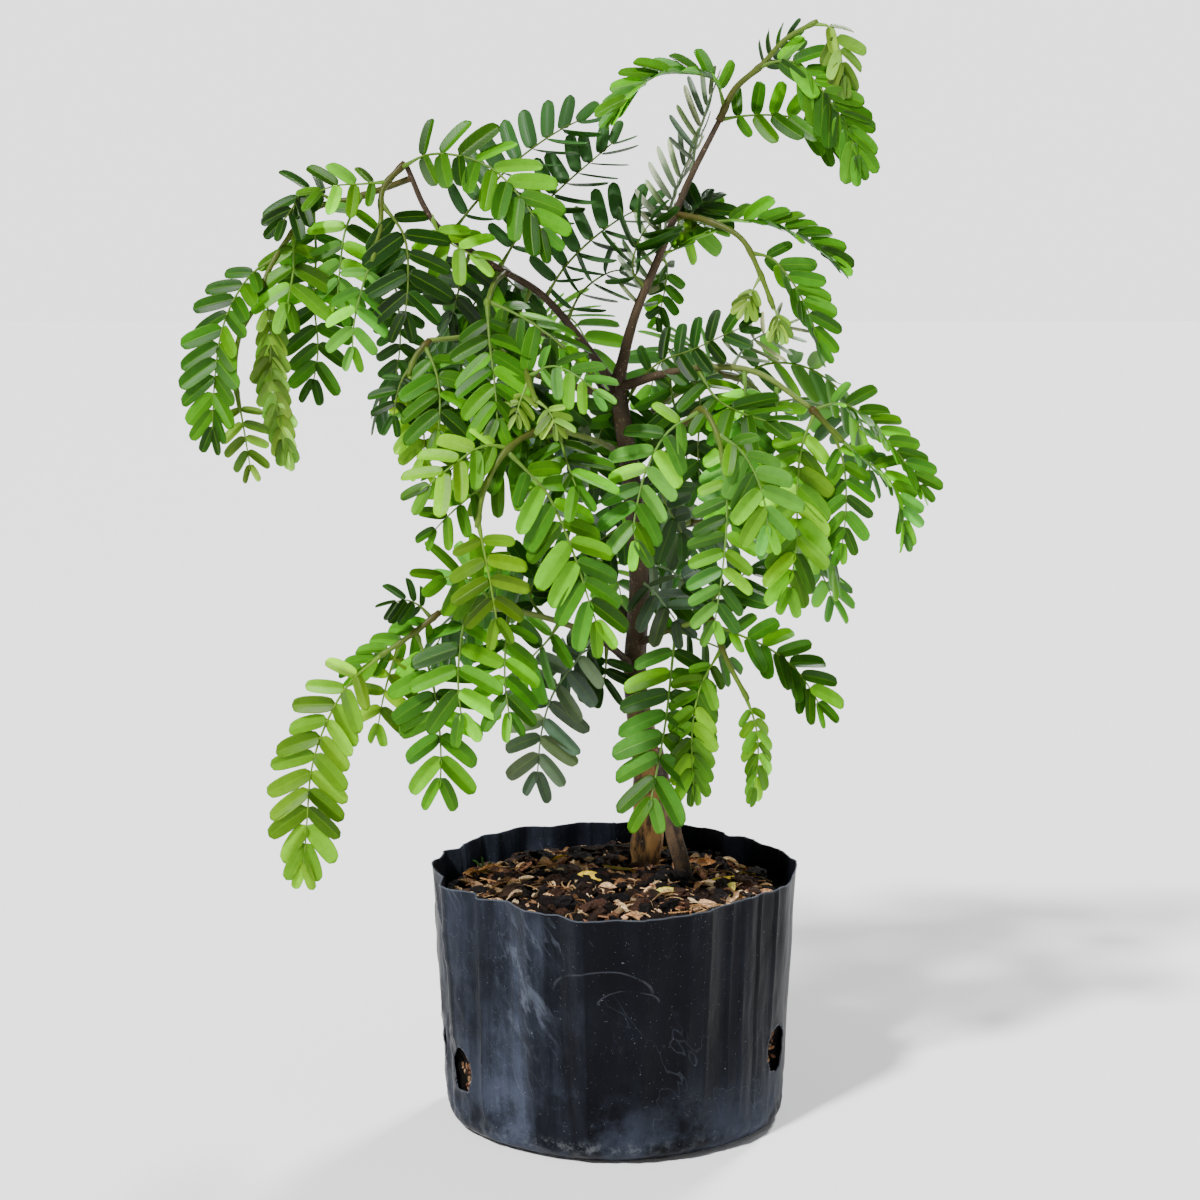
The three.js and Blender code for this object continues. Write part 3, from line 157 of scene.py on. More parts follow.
# Sprays and single leaves that the front view shows.
SPRAYS = {
    "top_spray": spray("leader",
        leaf("mid", [[724, 108], [714, 80], [681, 73], [656, 76], [624, 102], [607, 122]], -22, size=20,
             fold=-8, rake=48, bare=-0.9),
        leaf("mid", [[720, 120], [743, 116], [771, 115], [794, 118], [815, 130], [848, 153]], 18, size=22,
             fold=-18, edge=1),
        leaf("mid", [[758, 69], [773, 62], [796, 63], [817, 84], [834, 107], [852, 138], [859, 176]], -24,
             size=22, turn=20, rake=46),
        leaf("young", [[812, 23], [830, 27], [840, 52], [845, 92]], -8, size=17, rake=48),
        stem=[[719, 121, 0], [729, 96, -2], [757, 70, -5], [792, 34, -9], [818, 21, -12]], thick=(1.8, 1.2)),
    "upper_grey_leaf": spray("leader",
        leaf("grey", [[690, 176], [696, 145], [706, 110], [717, 74]], 12, size=24, rake=50, bare=1)),
    "lower_grey_leaf": spray("leader",
        leaf("grey", [[658, 250], [668, 214], [682, 174], [700, 134]], 12, rake=54, bare=1)),
    "leader_left_leaf": spray("leader",
        leaf("dark", [[645, 288], [633, 272], [636, 248], [648, 226], [668, 210]], -16, size=24, edge=2,
             rake=56)),
    "leader_bright_leaf": spray("leader",
        leaf("bright", [[670, 232], [688, 232], [703, 220], [714, 196]], 20, size=23, rake=60, bare=0.5)),
    "leader_back_leaf": spray("leader",
        leaf("mid", [[660, 254], [667, 266], [664, 294], [655, 328]], 26, size=14, rake=56)),
    "upper_right_spray": spray("leader",
        leaf("mid", [[712, 222], [743, 220], [770, 224], [796, 234], [820, 250], [846, 270]], -14, size=20,
             fold=-10, rake=52, bare=0.8),
        leaf("mid", [[752, 252], [771, 258], [788, 276], [803, 300], [815, 330], [823, 360]], -8, size=20,
             turn=25, rake=50, bare=0.8),
        leaf("young", [[760, 276], [752, 292], [743, 316]], -8, size=11, rake=50),
        leaf("young", [[770, 300], [777, 316], [779, 340]], -6, size=11, rake=46),
        stem=[[676, 214, 4], [714, 223, -10], [737, 235, -16], [754, 253, -20], [762, 282, -24],
              [774, 309, -28]]),
    "fork_dark_leaf": spray("right_branch",
        leaf("dark", [[640, 378], [660, 362], [692, 350], [722, 336], [755, 322]], -26, size=19, fold=-8)),
    "right_grey_leaf": spray("right_branch",
        leaf("grey", [[728, 369], [748, 344], [774, 330], [802, 322]], 12, size=20)),
    "back_dark_leaf_1": spray("left_branch",
        leaf("dark", [[448, 239], [478, 200], [520, 158], [560, 130], [596, 113]], 34, size=24, fold=6,
             under=True, edge=-1)),
    "back_dark_leaf_2": spray("left_branch",
        leaf("dark", [[500, 268], [529, 220], [564, 185], [595, 158], [625, 132]], 44, size=22, fold=6,
             under=True, edge=-1)),
    "back_dark_leaf_3": spray("left_branch",
        leaf("dark", [[546, 298], [564, 268], [596, 236], [632, 212], [664, 202]], 40, size=22, fold=6,
             under=True, edge=-1)),
    "back_dark_leaf_4": spray("left_branch",
        leaf("dark", [[566, 322], [582, 292], [610, 272], [636, 270]], 26, size=22, under=True, edge=2)),
    "upper_left_spray": spray("left_branch",
        leaf("mid", [[398, 166], [427, 155], [460, 156], [494, 170], [526, 205], [552, 249]], -44, size=25,
             fold=-12, rake=70),
        leaf("bright", [[386, 178], [362, 184], [334, 186], [304, 198]], -16, size=20),
        leaf("dark", [[386, 206], [404, 236], [408, 284], [402, 336]], -16),
        leaf("dark", [[380, 228], [396, 290], [400, 346], [390, 404]], 22, size=17),
        leaf("pale", [[374, 256], [362, 288], [354, 324], [352, 366]], -10, size=20),
        stem=[[405, 163, -16], [390, 170, -18], [383, 184, -20], [386, 206, -24], [379, 230, -28],
              [372, 262, -32]]),
    "outer_left_spray": spray("left_branch",
        leaf("dark", [[338, 203], [306, 190], [290, 212], [274, 232]], -24, size=20, fold=-4, rake=58),
        leaf("mid", [[276, 256], [254, 272], [236, 296], [222, 330], [215, 376], [212, 448]], -34, size=22,
             fold=-4, rake=60, bare=-0.6),
        leaf("young", [[266, 286], [270, 324], [271, 371], [278, 412], [290, 465]], -4, size=16, rake=40),
        leaf("mid", [[312, 210], [316, 250], [314, 302], [318, 350], [310, 399]], 6, size=22),
        leaf("bright", [[292, 232], [294, 262], [290, 292], [284, 322]], -34),
        leaf("pale", [[364, 196], [346, 228], [340, 268], [336, 318]], -22, size=22),
        leaf("young", [[237, 392], [244, 430], [252, 478]], -6, size=14),
        stem=[[412, 178, -16], [391, 186, -6], [348, 200, 2], [312, 210, 2], [290, 236, -2], [272, 263, -8],
              [262, 294, -14], [246, 320, -19], [237, 345, -22], [235, 376, -24], [240, 412, -26]],
              thick=(1.8, 1.2)),
    "centre_upper_spray": spray("left_branch",
        leaf("mid", [[487, 300], [489, 335], [492, 362], [496, 398], [498, 440]], -42, size=24, rake=70),
        leaf("mid", [[490, 294], [512, 312], [536, 326], [560, 344], [580, 366]], -22, fold=20),
        stem=[[505, 272, -5], [494, 284, -26], [487, 304, -44]], thick=(1.7, 1.3)),
    "middle_left_spray": spray("middle_branch",
        leaf("mid", [[424, 346], [436, 372], [440, 404], [436, 452]], -34, size=24, rake=70),
        leaf("dark", [[412, 366], [402, 380], [396, 400], [392, 430]], -18, size=15),
        leaf("yellow", [[408, 374], [418, 402], [424, 436], [422, 476]], -8, size=20),
        stem=[[430, 340, -44], [416, 356, -48], [408, 376, -52]]),
    "middle_leaf": spray("middle_branch",
        leaf("mid", [[466, 333], [462, 362], [458, 394], [460, 432]], -26)),
    "young_spray": spray("middle_branch",
        leaf("pale", [[527, 372], [552, 366], [580, 378], [607, 402]], -22, size=18),
        leaf("young", [[533, 396], [548, 410], [560, 436]], -10, size=12),
        leaf("young", [[530, 386], [520, 402], [514, 424]], -16, size=12),
        stem=[[518, 364, -24], [526, 366, -50], [529, 384, -70], [536, 402, -82]]),
    "front_spray": spray("front_branch",
        leaf("mid", [[508, 450], [526, 470], [546, 492], [562, 524], [578, 566], [592, 610], [605, 645]],
             -18, rake=70),
        leaf("bright", [[512, 444], [484, 446], [452, 466], [412, 500]], -16, size=23, rake=66),
        leaf("yellow", [[478, 522], [486, 560], [493, 598], [500, 640]], -8, size=22),
        leaf("mid", [[556, 431], [564, 452], [572, 476], [584, 506]], -34),
        leaf("mid", [[488, 482], [468, 498], [448, 516], [424, 542]], 4, size=18),
        stem=[[560, 430, -60], [534, 432, -74], [512, 444, -84], [494, 470, -90], [482, 496, -94],
              [477, 528, -96]], thick=(1.8, 1.2)),
    "front_right_spray": spray("front_right_branch",
        leaf("pale", [[696, 410], [668, 432], [648, 466], [638, 500], [634, 530], [641, 562]], -28, size=23,
             rake=70),
        leaf("pale", [[722, 458], [727, 508], [723, 566], [712, 640]], -10, size=20),
        leaf("pale", [[716, 434], [742, 452], [762, 492], [770, 548]], -14, size=23, rake=66),
        stem=[[684, 424, -50], [698, 408, -58], [714, 426, -68], [724, 466, -76]]),
    "right_hanging_leaf": spray("right_branch",
        leaf("pale", [[744, 371], [745, 404], [741, 452], [736, 490], [731, 531]], -22, size=23, rake=70)),
    "right_spray": spray("right_branch",
        leaf("mid", [[813, 410], [840, 403], [864, 416], [892, 446], [913, 474], [928, 500]], -24, size=18,
             fold=-10, rake=54, bare=0.8),
        leaf("pale", [[840, 439], [862, 458], [884, 474], [900, 500], [905, 548]], -6, size=16, fold=-6,
             rake=50, bare=0.7),
        leaf("bright", [[815, 412], [802, 446], [797, 493], [797, 540], [786, 609]], -26, size=23, rake=62),
        leaf("mid", [[834, 432], [844, 466], [846, 510], [840, 560]], -4, size=18, rake=60),
        stem=[[811, 408, -30], [826, 424, -32], [843, 442, -34]]),
    "right_inner_leaf": spray("right_branch",
        leaf("pale", [[782, 382], [776, 420], [772, 462], [764, 520]], 24, size=24)),
    "right_upper_leaf": spray("right_branch",
        leaf("mid", [[700, 369], [716, 398], [744, 414], [786, 426]], -44)),
    "trunk_blue_leaf": spray("trunk",
        leaf("blue", [[640, 580], [650, 588], [664, 604], [686, 636]], -34, size=22)),
    "low_left_spray": spray("low_left_branch",
        leaf("yellow", [[383, 654], [349, 684], [326, 724], [312, 767], [307, 820], [303, 884]], -14,
             size=24, fold=-4, rake=66),
        leaf("mid", [[416, 632], [430, 672], [438, 714], [441, 760], [439, 803]], -10),
        leaf("yellow", [[400, 643], [390, 672], [382, 704], [376, 740]], 16, size=20),
        leaf("dark", [[432, 619], [417, 604], [402, 600], [384, 610]], -12, size=16),
        stem=[[440, 612, -48], [418, 630, -52], [398, 644, -54], [380, 656, -56]]),
    "low_left_hanging_leaf_1": spray("low_left_branch",
        leaf("mid", [[470, 608], [462, 634], [458, 680], [464, 738]], -30)),
    "low_left_hanging_leaf_2": spray("low_left_branch",
        leaf("mid", [[512, 611], [506, 640], [505, 682], [512, 732]], -40, size=22)),
    "low_left_top_leaf": spray("low_left_branch",
        leaf("bright", [[492, 609], [480, 588], [456, 576], [424, 584]], -34)),
    "low_blue_leaf": spray("low_left_branch",
        leaf("blue", [[584, 634], [574, 664], [554, 692], [542, 730], [536, 794]], 10)),
    "low_right_spray": spray("low_right_branch",
        leaf("mid", [[713, 626], [742, 636], [770, 649], [797, 671], [814, 695], [827, 721]], -12, size=22,
             fold=-6, rake=62, bare=0.3),
        leaf("bright", [[746, 693], [756, 727], [758, 762], [751, 801]], -2, size=15, fold=34, rake=52),
        leaf("bright", [[718, 648], [701, 686], [693, 722], [692, 760], [695, 802]], -14, size=19, rake=58),
        stem=[[711, 618, -24], [716, 644, -29], [730, 664, -33], [742, 682, -36], [748, 700, -38]]),
    "low_front_leaf": spray("low_right_branch",
        leaf("pale", [[684, 625], [674, 646], [670, 684], [665, 726], [655, 780], [646, 824]], -48,
             size=29)),
}

# Sprays on the far side, and the tones of each one's leaves.
FAR_SPRAYS = {
    "far_left_spray": far_spray("back_left_branch", [[548, 334, 62], [524, 334, 76], [500, 352, 88]], 11),
    "far_right_spray": far_spray("back_right_branch", [[718, 374, 66], [746, 382, 80], [770, 404, 90]], 12),
    "far_low_spray": far_spray("back_low_branch", [[588, 584, 66], [562, 584, 80], [540, 604, 90]], 13),
    "far_low_right_spray": far_spray("back_low_right_branch",
                                     [[690, 522, 62], [714, 524, 76], [734, 544, 86]], 14),
}
FAR_TONES = ["mid", "bright", "dark", "mid"]

# Leaves that fill the crown between the others.
INNER_SPRAYS = [
    spray("top_spray",
        leaf("mid", [[752, 74], [766, 60], [782, 44], [800, 28]], 4, size=17, edge=-1, rake=62, bare=1)),
    spray("leader",
        leaf("grey", [[640, 322], [648, 286], [658, 250], [670, 218]], 6, rake=66, bare=1),
        leaf("bright", [[660, 254], [674, 250], [688, 242], [700, 230]], 12, size=18, fold=-4, rake=60,
             bare=1),
        leaf("dark", [[676, 222], [690, 214], [702, 204], [710, 190]], 18, size=22, rake=60)),
    spray("low_left_branch",
        leaf("mid", [[440, 622], [414, 634], [384, 652], [346, 678]], -8, size=20, rake=62, bare=-1)),
    spray("left_branch",
        leaf("dark", [[470, 250], [462, 278], [455, 305], [448, 332]], 24),
        leaf("mid", [[500, 270], [482, 292], [470, 312], [462, 338]], 20),
        leaf("dark", [[530, 290], [520, 312], [500, 330], [478, 344]], 16),
        leaf("dark", [[480, 258], [500, 272], [520, 290], [545, 300]], 30, fold=20),
        leaf("bright", [[430, 216], [440, 234], [462, 250], [490, 262]], -12, size=22)),
    spray("middle_branch",
        leaf("dark", [[560, 383], [556, 410], [548, 440], [536, 470]], 20),
        leaf("mid", [[580, 388], [584, 416], [590, 448], [586, 482]], 24),
        leaf("dark", [[535, 375], [522, 404], [510, 440], [504, 480]], 14),
        leaf("blue", [[500, 352], [508, 384], [506, 420], [494, 456]], 22),
        leaf("mid", [[550, 378], [534, 402], [506, 424], [476, 440]], 18)),
    spray("trunk",
        leaf("dark", [[620, 400], [604, 424], [596, 458], [600, 500]], 18),
        leaf("blue", [[626, 450], [646, 470], [668, 492], [686, 520]], 20),
        leaf("dark", [[634, 520], [612, 532], [590, 550], [566, 574]], 24),
        leaf("blue", [[638, 560], [660, 566], [684, 580], [706, 606]], 26),
        leaf("mid", [[640, 610], [660, 600], [690, 592], [722, 600]], 24)),
    spray("right_branch",
        leaf("dark", [[640, 380], [628, 402], [622, 430], [620, 462]], 30),
        leaf("mid", [[665, 373], [674, 404], [684, 440], [690, 486]], 24),
        leaf("dark", [[690, 370], [700, 402], [698, 446], [700, 500]], 30)),
    spray("front_branch",
        leaf("bright", [[560, 430], [530, 448], [500, 470], [468, 500]], 12),
        leaf("mid", [[560, 431], [520, 440], [480, 452], [430, 484]], 6),
        leaf("blue", [[600, 442], [580, 452], [556, 474], [530, 500]], 24)),
    spray("front_right_branch", leaf("dark", [[656, 480], [664, 500], [676, 522], [690, 548]], 30)),
    spray("low_left_branch",
        leaf("blue", [[600, 640], [584, 652], [566, 664], [540, 668]], 26),
        leaf("dark", [[610, 648], [606, 664], [604, 680], [592, 700]], 10, size=20),
        leaf("mid", [[560, 624], [548, 640], [530, 660], [516, 690]], 24),
        leaf("pale", [[480, 608], [470, 590], [474, 566], [500, 548]], 18, size=22),
        leaf("dark", [[540, 616], [530, 596], [540, 572], [562, 556]], 22)),
    spray("low_right_branch",
        leaf("dark", [[700, 620], [716, 596], [740, 576], [772, 568]], 22),
        leaf("mid", [[680, 626], [700, 640], [722, 650], [735, 672]], 26, size=22)),
]

# Leaf colours as the eye sees them.
TONES = {
    "bright": "#589a18",
    "mid": "#377214",
    "dark": "#1a3f12",
    "grey": "#8e9c98",
    "blue": "#647c78",
    "pale": "#4c9034",
    "young": "#84b848",
    "yellow": "#669e04",
}
# Tones that carry a few leaflets with painted sunlight, lighter and yellower, and how much lighter those
# are.
SUNLIT = {"bright": 1.8, "mid": 2.1, "yellow": 1.3, "pale": 1.7}
SUNLIT_SHARE = 0.3
SUNLIT_WARMTH = [1.24, 1.1, 0.1]


def seeded_draw(seed):
    """Repeatable draw of numbers between 0 and 1."""
    mask = 0xFFFFFFFF
    state = seed

    def draw():
        nonlocal state
        state = (state + 0x6D2B79F5) & mask
        mixed = ((state ^ (state >> 15)) * (1 | state)) & mask
        mixed = ((mixed + (((mixed ^ (mixed >> 7)) * (61 | mixed)) & mask)) & mask) ^ mixed
        return ((mixed ^ (mixed >> 14)) & mask) / 4294967296

    return draw


def pick(draw, choices):
    return choices[int(draw() * len(choices))]


def jitter(draw, width):
    """A drawn value from minus to plus half a width."""
    return width * (draw() - 0.5)


def ripple(x, y, z):
    """Smooth random value, about 0, at any place."""
    return noise.noise(Vector((x, y, z)))


def bell(gap, width):
    """1 at no gap, falling away smoothly with a given width."""
    return np.exp(-(gap / width) ** 2)


def half_turn(angle):
    """An angle brought to within half a turn either way."""
    return (angle + math.pi) % (2 * math.pi) - math.pi


def unit(vectors):
    return vectors / np.maximum(np.linalg.norm(vectors, axis=-1, keepdims=True), 1e-12)


def reached_along(line):
    """How far along a line each of its points lies."""
    return np.concatenate([[0], np.cumsum(np.linalg.norm(np.diff(line, axis=0), axis=1))])


def linear(code):
    """A colour written as the eye sees it, turned into light."""
    parts = [int(code[i:i + 2], 16) / 255 for i in (1, 3, 5)]
    return np.array([c / 12.92 if c <= 0.04045 else ((c + 0.055) / 1.055) ** 2.4 for c in parts])


def seen(column, row, depth):
    """The point at this depth behind the bag's axis that the front view shows there."""
    fall = VIEW_TILT + math.atan((row - VIEW_MIDDLE) / VIEW_SHARPNESS)
    reach = EYE_DISTANCE + depth
    height = EYE_HEIGHT - reach * math.tan(fall)
    along = reach * math.cos(VIEW_TILT) + (EYE_HEIGHT - height) * math.sin(VIEW_TILT)
    return np.array([EYE_SIDE + (column - VIEW_MIDDLE) * along / VIEW_SHARPNESS, depth, height])


def smooth(points, per_span=24):
    """A smooth line through points, drawn densely."""
    points = np.array(points, float)
    ends = [2 * points[0] - points[1], 2 * points[-1] - points[-2]]
    padded = np.vstack([ends[0], points, ends[1]])
    line = []
    for a, b, c, d in zip(padded, padded[1:], padded[2:], padded[3:]):
        gaps = [max(np.linalg.norm(q - p) ** 0.5, 1e-3) for p, q in ((a, b), (b, c), (c, d))]
        slope_b = (b - a) / gaps[0] - (c - a) / (gaps[0] + gaps[1]) + (c - b) / gaps[1]
        slope_c = (c - b) / gaps[1] - (d - b) / (gaps[1] + gaps[2]) + (d - c) / gaps[2]
        slope_b *= gaps[1]
        slope_c *= gaps[1]
        t = np.arange(per_span)[:, None] / per_span
        t2, t3 = t * t, t * t * t
        line.append((2 * t3 - 3 * t2 + 1) * b + (t3 - 2 * t2 + t) * slope_b
                    + (3 * t2 - 2 * t3) * c + (t3 - t2) * slope_c)
    return np.vstack(line + [points[-1:]])


def line_length(line):
    return float(np.linalg.norm(np.diff(line, axis=0), axis=1).sum())


def at_shares(line, shares):
    """Points and directions at shares of a line's length."""
    reached = reached_along(line)
    reached /= reached[-1]
    shares = np.clip(np.asarray(shares, float), 0, 1)
    points = np.stack([np.interp(shares, reached, line[:, k]) for k in range(3)], axis=-1)
    slopes = unit(np.gradient(line, reached, axis=0))
    along = np.stack([np.interp(shares, reached, slopes[:, k]) for k in range(3)], axis=-1)
    return points, unit(along)


def even_line(points, spacing):
    line = smooth(points)
    steps = max(2, int(math.floor(line_length(line) / spacing + 0.5)))
    return at_shares(line, np.linspace(0, 1, steps + 1))[0]


def nearest_on(line, point):
    """The point of a line nearest to another point."""
    starts, ends = line[:-1], line[1:]
    spans = ends - starts
    shares = np.clip(((point - starts) * spans).sum(1) / (spans ** 2).sum(1), 0, 1)
    spots = starts + shares[:, None] * spans
    return spots[np.argmin(np.linalg.norm(spots - point, axis=1))]


def root_depth(carrier, column, row):
    """The depth of the part of a stem that shows nearest to a column and row."""
    gaps = [np.linalg.norm(seen(column, row, point[1]) - point) for point in carrier]
    return carrier[int(np.argmin(gaps))][1]


class Pile:
    """Corners, faces and values for each corner, gathered into one mesh."""

    def __init__(self):
        self.corners = []
        self.faces = []
        self.values = {}
        self.count = 0

    def add(self, corners, faces, **values):
        corners = np.asarray(corners, float).reshape(-1, 3)
        self.corners.append(corners)
        self.faces.extend((np.asarray(face) + self.count).tolist() for face in faces)
        for name, value in values.items():
            shape = (len(corners), 3) if name == "tint" else (len(corners),)
            self.values.setdefault(name, []).append(np.broadcast_to(np.asarray(value, float), shape))
        self.count += len(corners)

    def build(self, name, material, slot, replaced=(), smooth=True):
        mesh = bpy.data.meshes.new(name)
        mesh.from_pydata((np.vstack(self.corners) * MM).tolist(), [], self.faces)
        for label, parts in self.values.items():
            whole = np.concatenate(parts)
            if label == "tint":
                layer = mesh.attributes.new(label, "FLOAT_COLOR", "POINT")
                layer.data.foreach_set("color", np.hstack([whole, np.ones((len(whole), 1))]).ravel())
            else:
                layer = mesh.attributes.new(label, "FLOAT", "POINT")
                layer.data.foreach_set("value", whole.ravel())
        mesh.polygons.foreach_set("use_smooth", np.full(len(mesh.polygons), smooth))
        mesh.materials.append(material)
        mesh.validate()
        piece = bpy.data.objects.new(name, mesh)
        bpy.context.scene.collection.objects.link(piece)
        if slot:
            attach(piece, "root")
        if replaced:
            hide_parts(*replaced)
        return piece


def grid_faces(rows, columns, wrap=False, first=0):
    """Four-sided faces between rows of corners, closed into a ring if wrapped."""
    faces = []
    for i in range(rows - 1):
        for k in range(columns if wrap else columns - 1):
            after = (k + 1) % columns
            a = first + i * columns
            faces.append((a + k, a + after, a + columns + after, a + columns + k))
    return faces


def ends_closed(rings, sides):
    """Faces that close both ends of a stack of rings."""
    last = (rings - 1) * sides
    return [tuple(range(sides - 1, -1, -1)), tuple(range(last, last + sides))]


def tube(line, radii, sides):
    """Corners and faces of a round stem with closed ends."""
    ahead = np.vstack([line[1:], line[-1:]])
    behind = np.vstack([line[:1], line[:-1]])
    along = unit(ahead - behind)
    across = np.array([0.3, 0.9, 0.1])
    turns = np.arange(sides) * 2 * math.pi / sides
    rings = []
    for centre, direction, radius in zip(line, along, radii):
        across = across - direction * across.dot(direction)
        across = across / np.linalg.norm(across)
        other = np.cross(direction, across)
        around = np.outer(np.cos(turns), across) + np.outer(np.sin(turns), other)
        rings.append(centre + np.reshape(radius, (-1, 1)) * around)
    return np.vstack(rings), grid_faces(len(line), sides, wrap=True) + ends_closed(len(line), sides)


# Plant lines

def rooted(line):
    """A stem's line whose lowest point is replaced by a straight root into the mix."""
    across, depth, _ = line[0]
    low = [across, depth, SOIL_MIDDLE_HEIGHT - ROOTED_DEPTH]
    neck = [across, depth, SOIL_MIDDLE_HEIGHT - NECK_DEPTH]
    return np.vstack([low, neck, line[1:]])


def limb_lines():
    lines = {}
    for name, limb in WOOD.items():
        points = [seen(*p) for p in limb["line"]]
        if limb["from"] is None:
            lines[name] = rooted(even_line(points, TRUNK_SPACING))
        else:
            points[0] = nearest_on(lines[limb["from"]], points[0])
            lines[name] = even_line(points, LIMB_SPACING)
    return lines


LIMBS = limb_lines()


def limb_radii(name):
    """Radius at each point of a limb's line. The trunk is thickest where it stands in the mix."""
    radii = np.linspace(*WOOD[name]["thick"], len(LIMBS[name]))
    if name == "trunk":
        radii[:3] = [TRUNK_FOOT_RADIUS, TRUNK_FOOT_RADIUS, TRUNK_FOOT_RADIUS - 1.2]
    return radii


def rib_line(carrier, entry):
    """A leaf's middle line, from the middle of the stem that carries it."""
    column, row = entry["line"][0]
    root = nearest_on(carrier, seen(column, row, root_depth(carrier, column, row)))
    last = len(entry["line"]) - 1
    points = [seen(c, r, root[1] + entry["lean"] * (i / last) ** 1.2)
              for i, (c, r) in enumerate(entry["line"])]
    points[0] = root
    return smooth(points)


def arch_line(root, heading, length, rise, hang):
    """A far leaf rises a little from its stem, then arches over and hangs."""
    spans = 5
    points = [root]
    for i in range(spans):
        slope = math.radians(rise + (hang - rise) * i / (spans - 1))
        flat = math.cos(slope)
        step = np.array([math.sin(heading) * flat, math.cos(heading) * flat, math.sin(slope)])
        points.append(points[-1] + step * length / spans)
    return smooth(points)


def far_leaves(stem, draw):
    """Leaves turned to alternate sides of a far stem, the last one straight on."""
    leaves = []
    curve = smooth(stem)
    last = len(FAR_TONES) - 1
    for i, tone in enumerate(FAR_TONES):
        share = i / last
        (root,), (along,) = at_shares(curve, [share])
        side = 0 if i == last else (1 if i % 2 else -1) * (78 - 22 * share)
        heading = math.atan2(along[0], along[1]) + math.radians(side)
        length = FAR_LEAF_LENGTH + FAR_LEAF_LENGTH_SPREAD * draw()
        line = arch_line(root, heading, length, 34 - 30 * share, -66 - 12 * draw())
        leaves.append((leaf(tone, None, 0, fold=6), line))
    return leaves


def plan_sprays():
    """Each spray's stem, and its leaves with their lines."""
    plans = []
    for name, given in {**SPRAYS, **FAR_SPRAYS}.items():
        carrier = LIMBS[given["from"]]
        stem = None
        if given["stem"]:
            points = [seen(*p) for p in given["stem"]]
            points[0] = nearest_on(carrier, points[0])
            carrier = stem = even_line(points, SPRAY_SPACING)
        if name in FAR_SPRAYS:
            leaves = far_leaves(stem, seeded_draw(given["seed"]))
        else:
            leaves = [(entry, rib_line(carrier, entry)) for entry in given["leaves"]]
        plans.append({"name": name, "thick": given["thick"], "stem": stem, "leaves": leaves})
    return plans


# Leaves

def face_of(entry, middle):
    """Direction that a leaf's upper face looks in: towards the viewer, or outwards on the far side."""
    outward = np.array([0, -1.0, 0]) if entry["line"] else unit(np.array([middle[0], middle[1], 0.0]))
    face = outward * 0.8 + np.array([0, 0, 0.6])
    return -face if entry["under"] else face


def frames_along(entry, line, shares):
    """Centre, direction, upper face and side of a leaf's rib at shares of its length."""
    centres, along = at_shares(line, shares)
    face = face_of(entry, at_shares(line, [0.5])[0][0])
    up = unit(face - along * (along @ face)[:, None])
    turn = math.radians(entry["turn"])
    up = up * math.cos(turn) + np.cross(along, up) * math.sin(turn)
    return centres, along, up, np.cross(along, up)


BLADE_STATIONS = 10
BLADE_LANES = [-1, -0.88, -0.26, 0, 0.26, 0.88, 1]


def blade_template():
    """A leaflet in its own measure: place along it, place across it, and whether it is the upper face.

    Its upper and lower faces share the corners of its edge.
    """
    lanes = len(BLADE_LANES)
    steps = np.linspace(0, 1, BLADE_STATIONS)
    along = 0.5 - 0.5 * np.cos(math.pi * (0.07 + 0.86 * steps))
    along = (along - along[0]) / (along[-1] - along[0])
    corners = [(a, w, 1.0) for a in along for w in BLADE_LANES]
    upper = np.arange(len(corners)).reshape(BLADE_STATIONS, lanes)
    corners += [(a, w, 0.0) for a in along[1:-1] for w in BLADE_LANES[1:-1]]
    lower = upper.copy()
    lower[1:-1, 1:-1] = np.arange(upper.size, len(corners)).reshape(BLADE_STATIONS - 2, lanes - 2)
    faces = []
    for i in range(BLADE_STATIONS - 1):
        for k in range(lanes - 1):
            ring = [(i, k), (i + 1, k), (i + 1, k + 1), (i, k + 1)]
            faces.append([upper[place] for place in ring])
            faces.append([lower[place] for place in reversed(ring)])
    return np.array(corners), np.array(faces)


TEMPLATE, TEMPLATE_FACES = blade_template()
OUTLINE_POWER = 2.7

# How far leaflets are turned, in degrees, and how much smaller the first and last pairs are.
FOLD_SPREAD = 20
RAKE_SPREAD = 14
ROLL_SPREAD = 30
EDGE_ON_ROLL = 55
BARE_FOLD = 70
FIRST_PAIR_SIZE = 0.82
LAST_PAIR_SIZE = 0.76

LEAF_SEED = 1000
SPRAY_SEED_STEP = 17
INNER_SEED = 5000
INNER_SEED_STEP = 13


def blade_outline(along):
    """Half width of an oblong leaflet with rounded ends, as a share of its greatest."""
    bulge = np.abs(2 * along - 1) ** OUTLINE_POWER
    return np.maximum(1 - bulge, 0) ** (1 / OUTLINE_POWER) * 0.86 + 0.14


def turn_about(first, second, angle):
    """Two square directions turned together by an angle."""
    return (first * math.cos(angle) + second * math.sin(angle),
            second * math.cos(angle) - first * math.sin(angle))


def leaflet_shape(size, width, draw):
    """A cupped, drooping blade: each corner's distance along, ahead and up from its foot."""
    along, across, top = TEMPLATE.T
    half = blade_outline(along)
    slant = 0.1 * (1 - along) ** 2
    wide = (across + slant) * half * width / 2
    cup = (0.2 + 0.8 * draw()) * 0.2 * width * across ** 2 * half
    droop = (0.02 + 0.13 * draw()) * size * along ** 2
    thick = LEAFLET_THICKNESS * (1 - across ** 8) * np.where(top > 0.5, 0.5, -0.5)
    crease = np.maximum(1 - np.abs(across) * 3.8, 0) * np.sin(math.pi * along) ** 0.5
    sickle = 0.1 * size * along ** 2 * (0.2 + 0.8 * draw())
    return along * size, wide + sickle, cup - droop + thick - 0.22 * crease


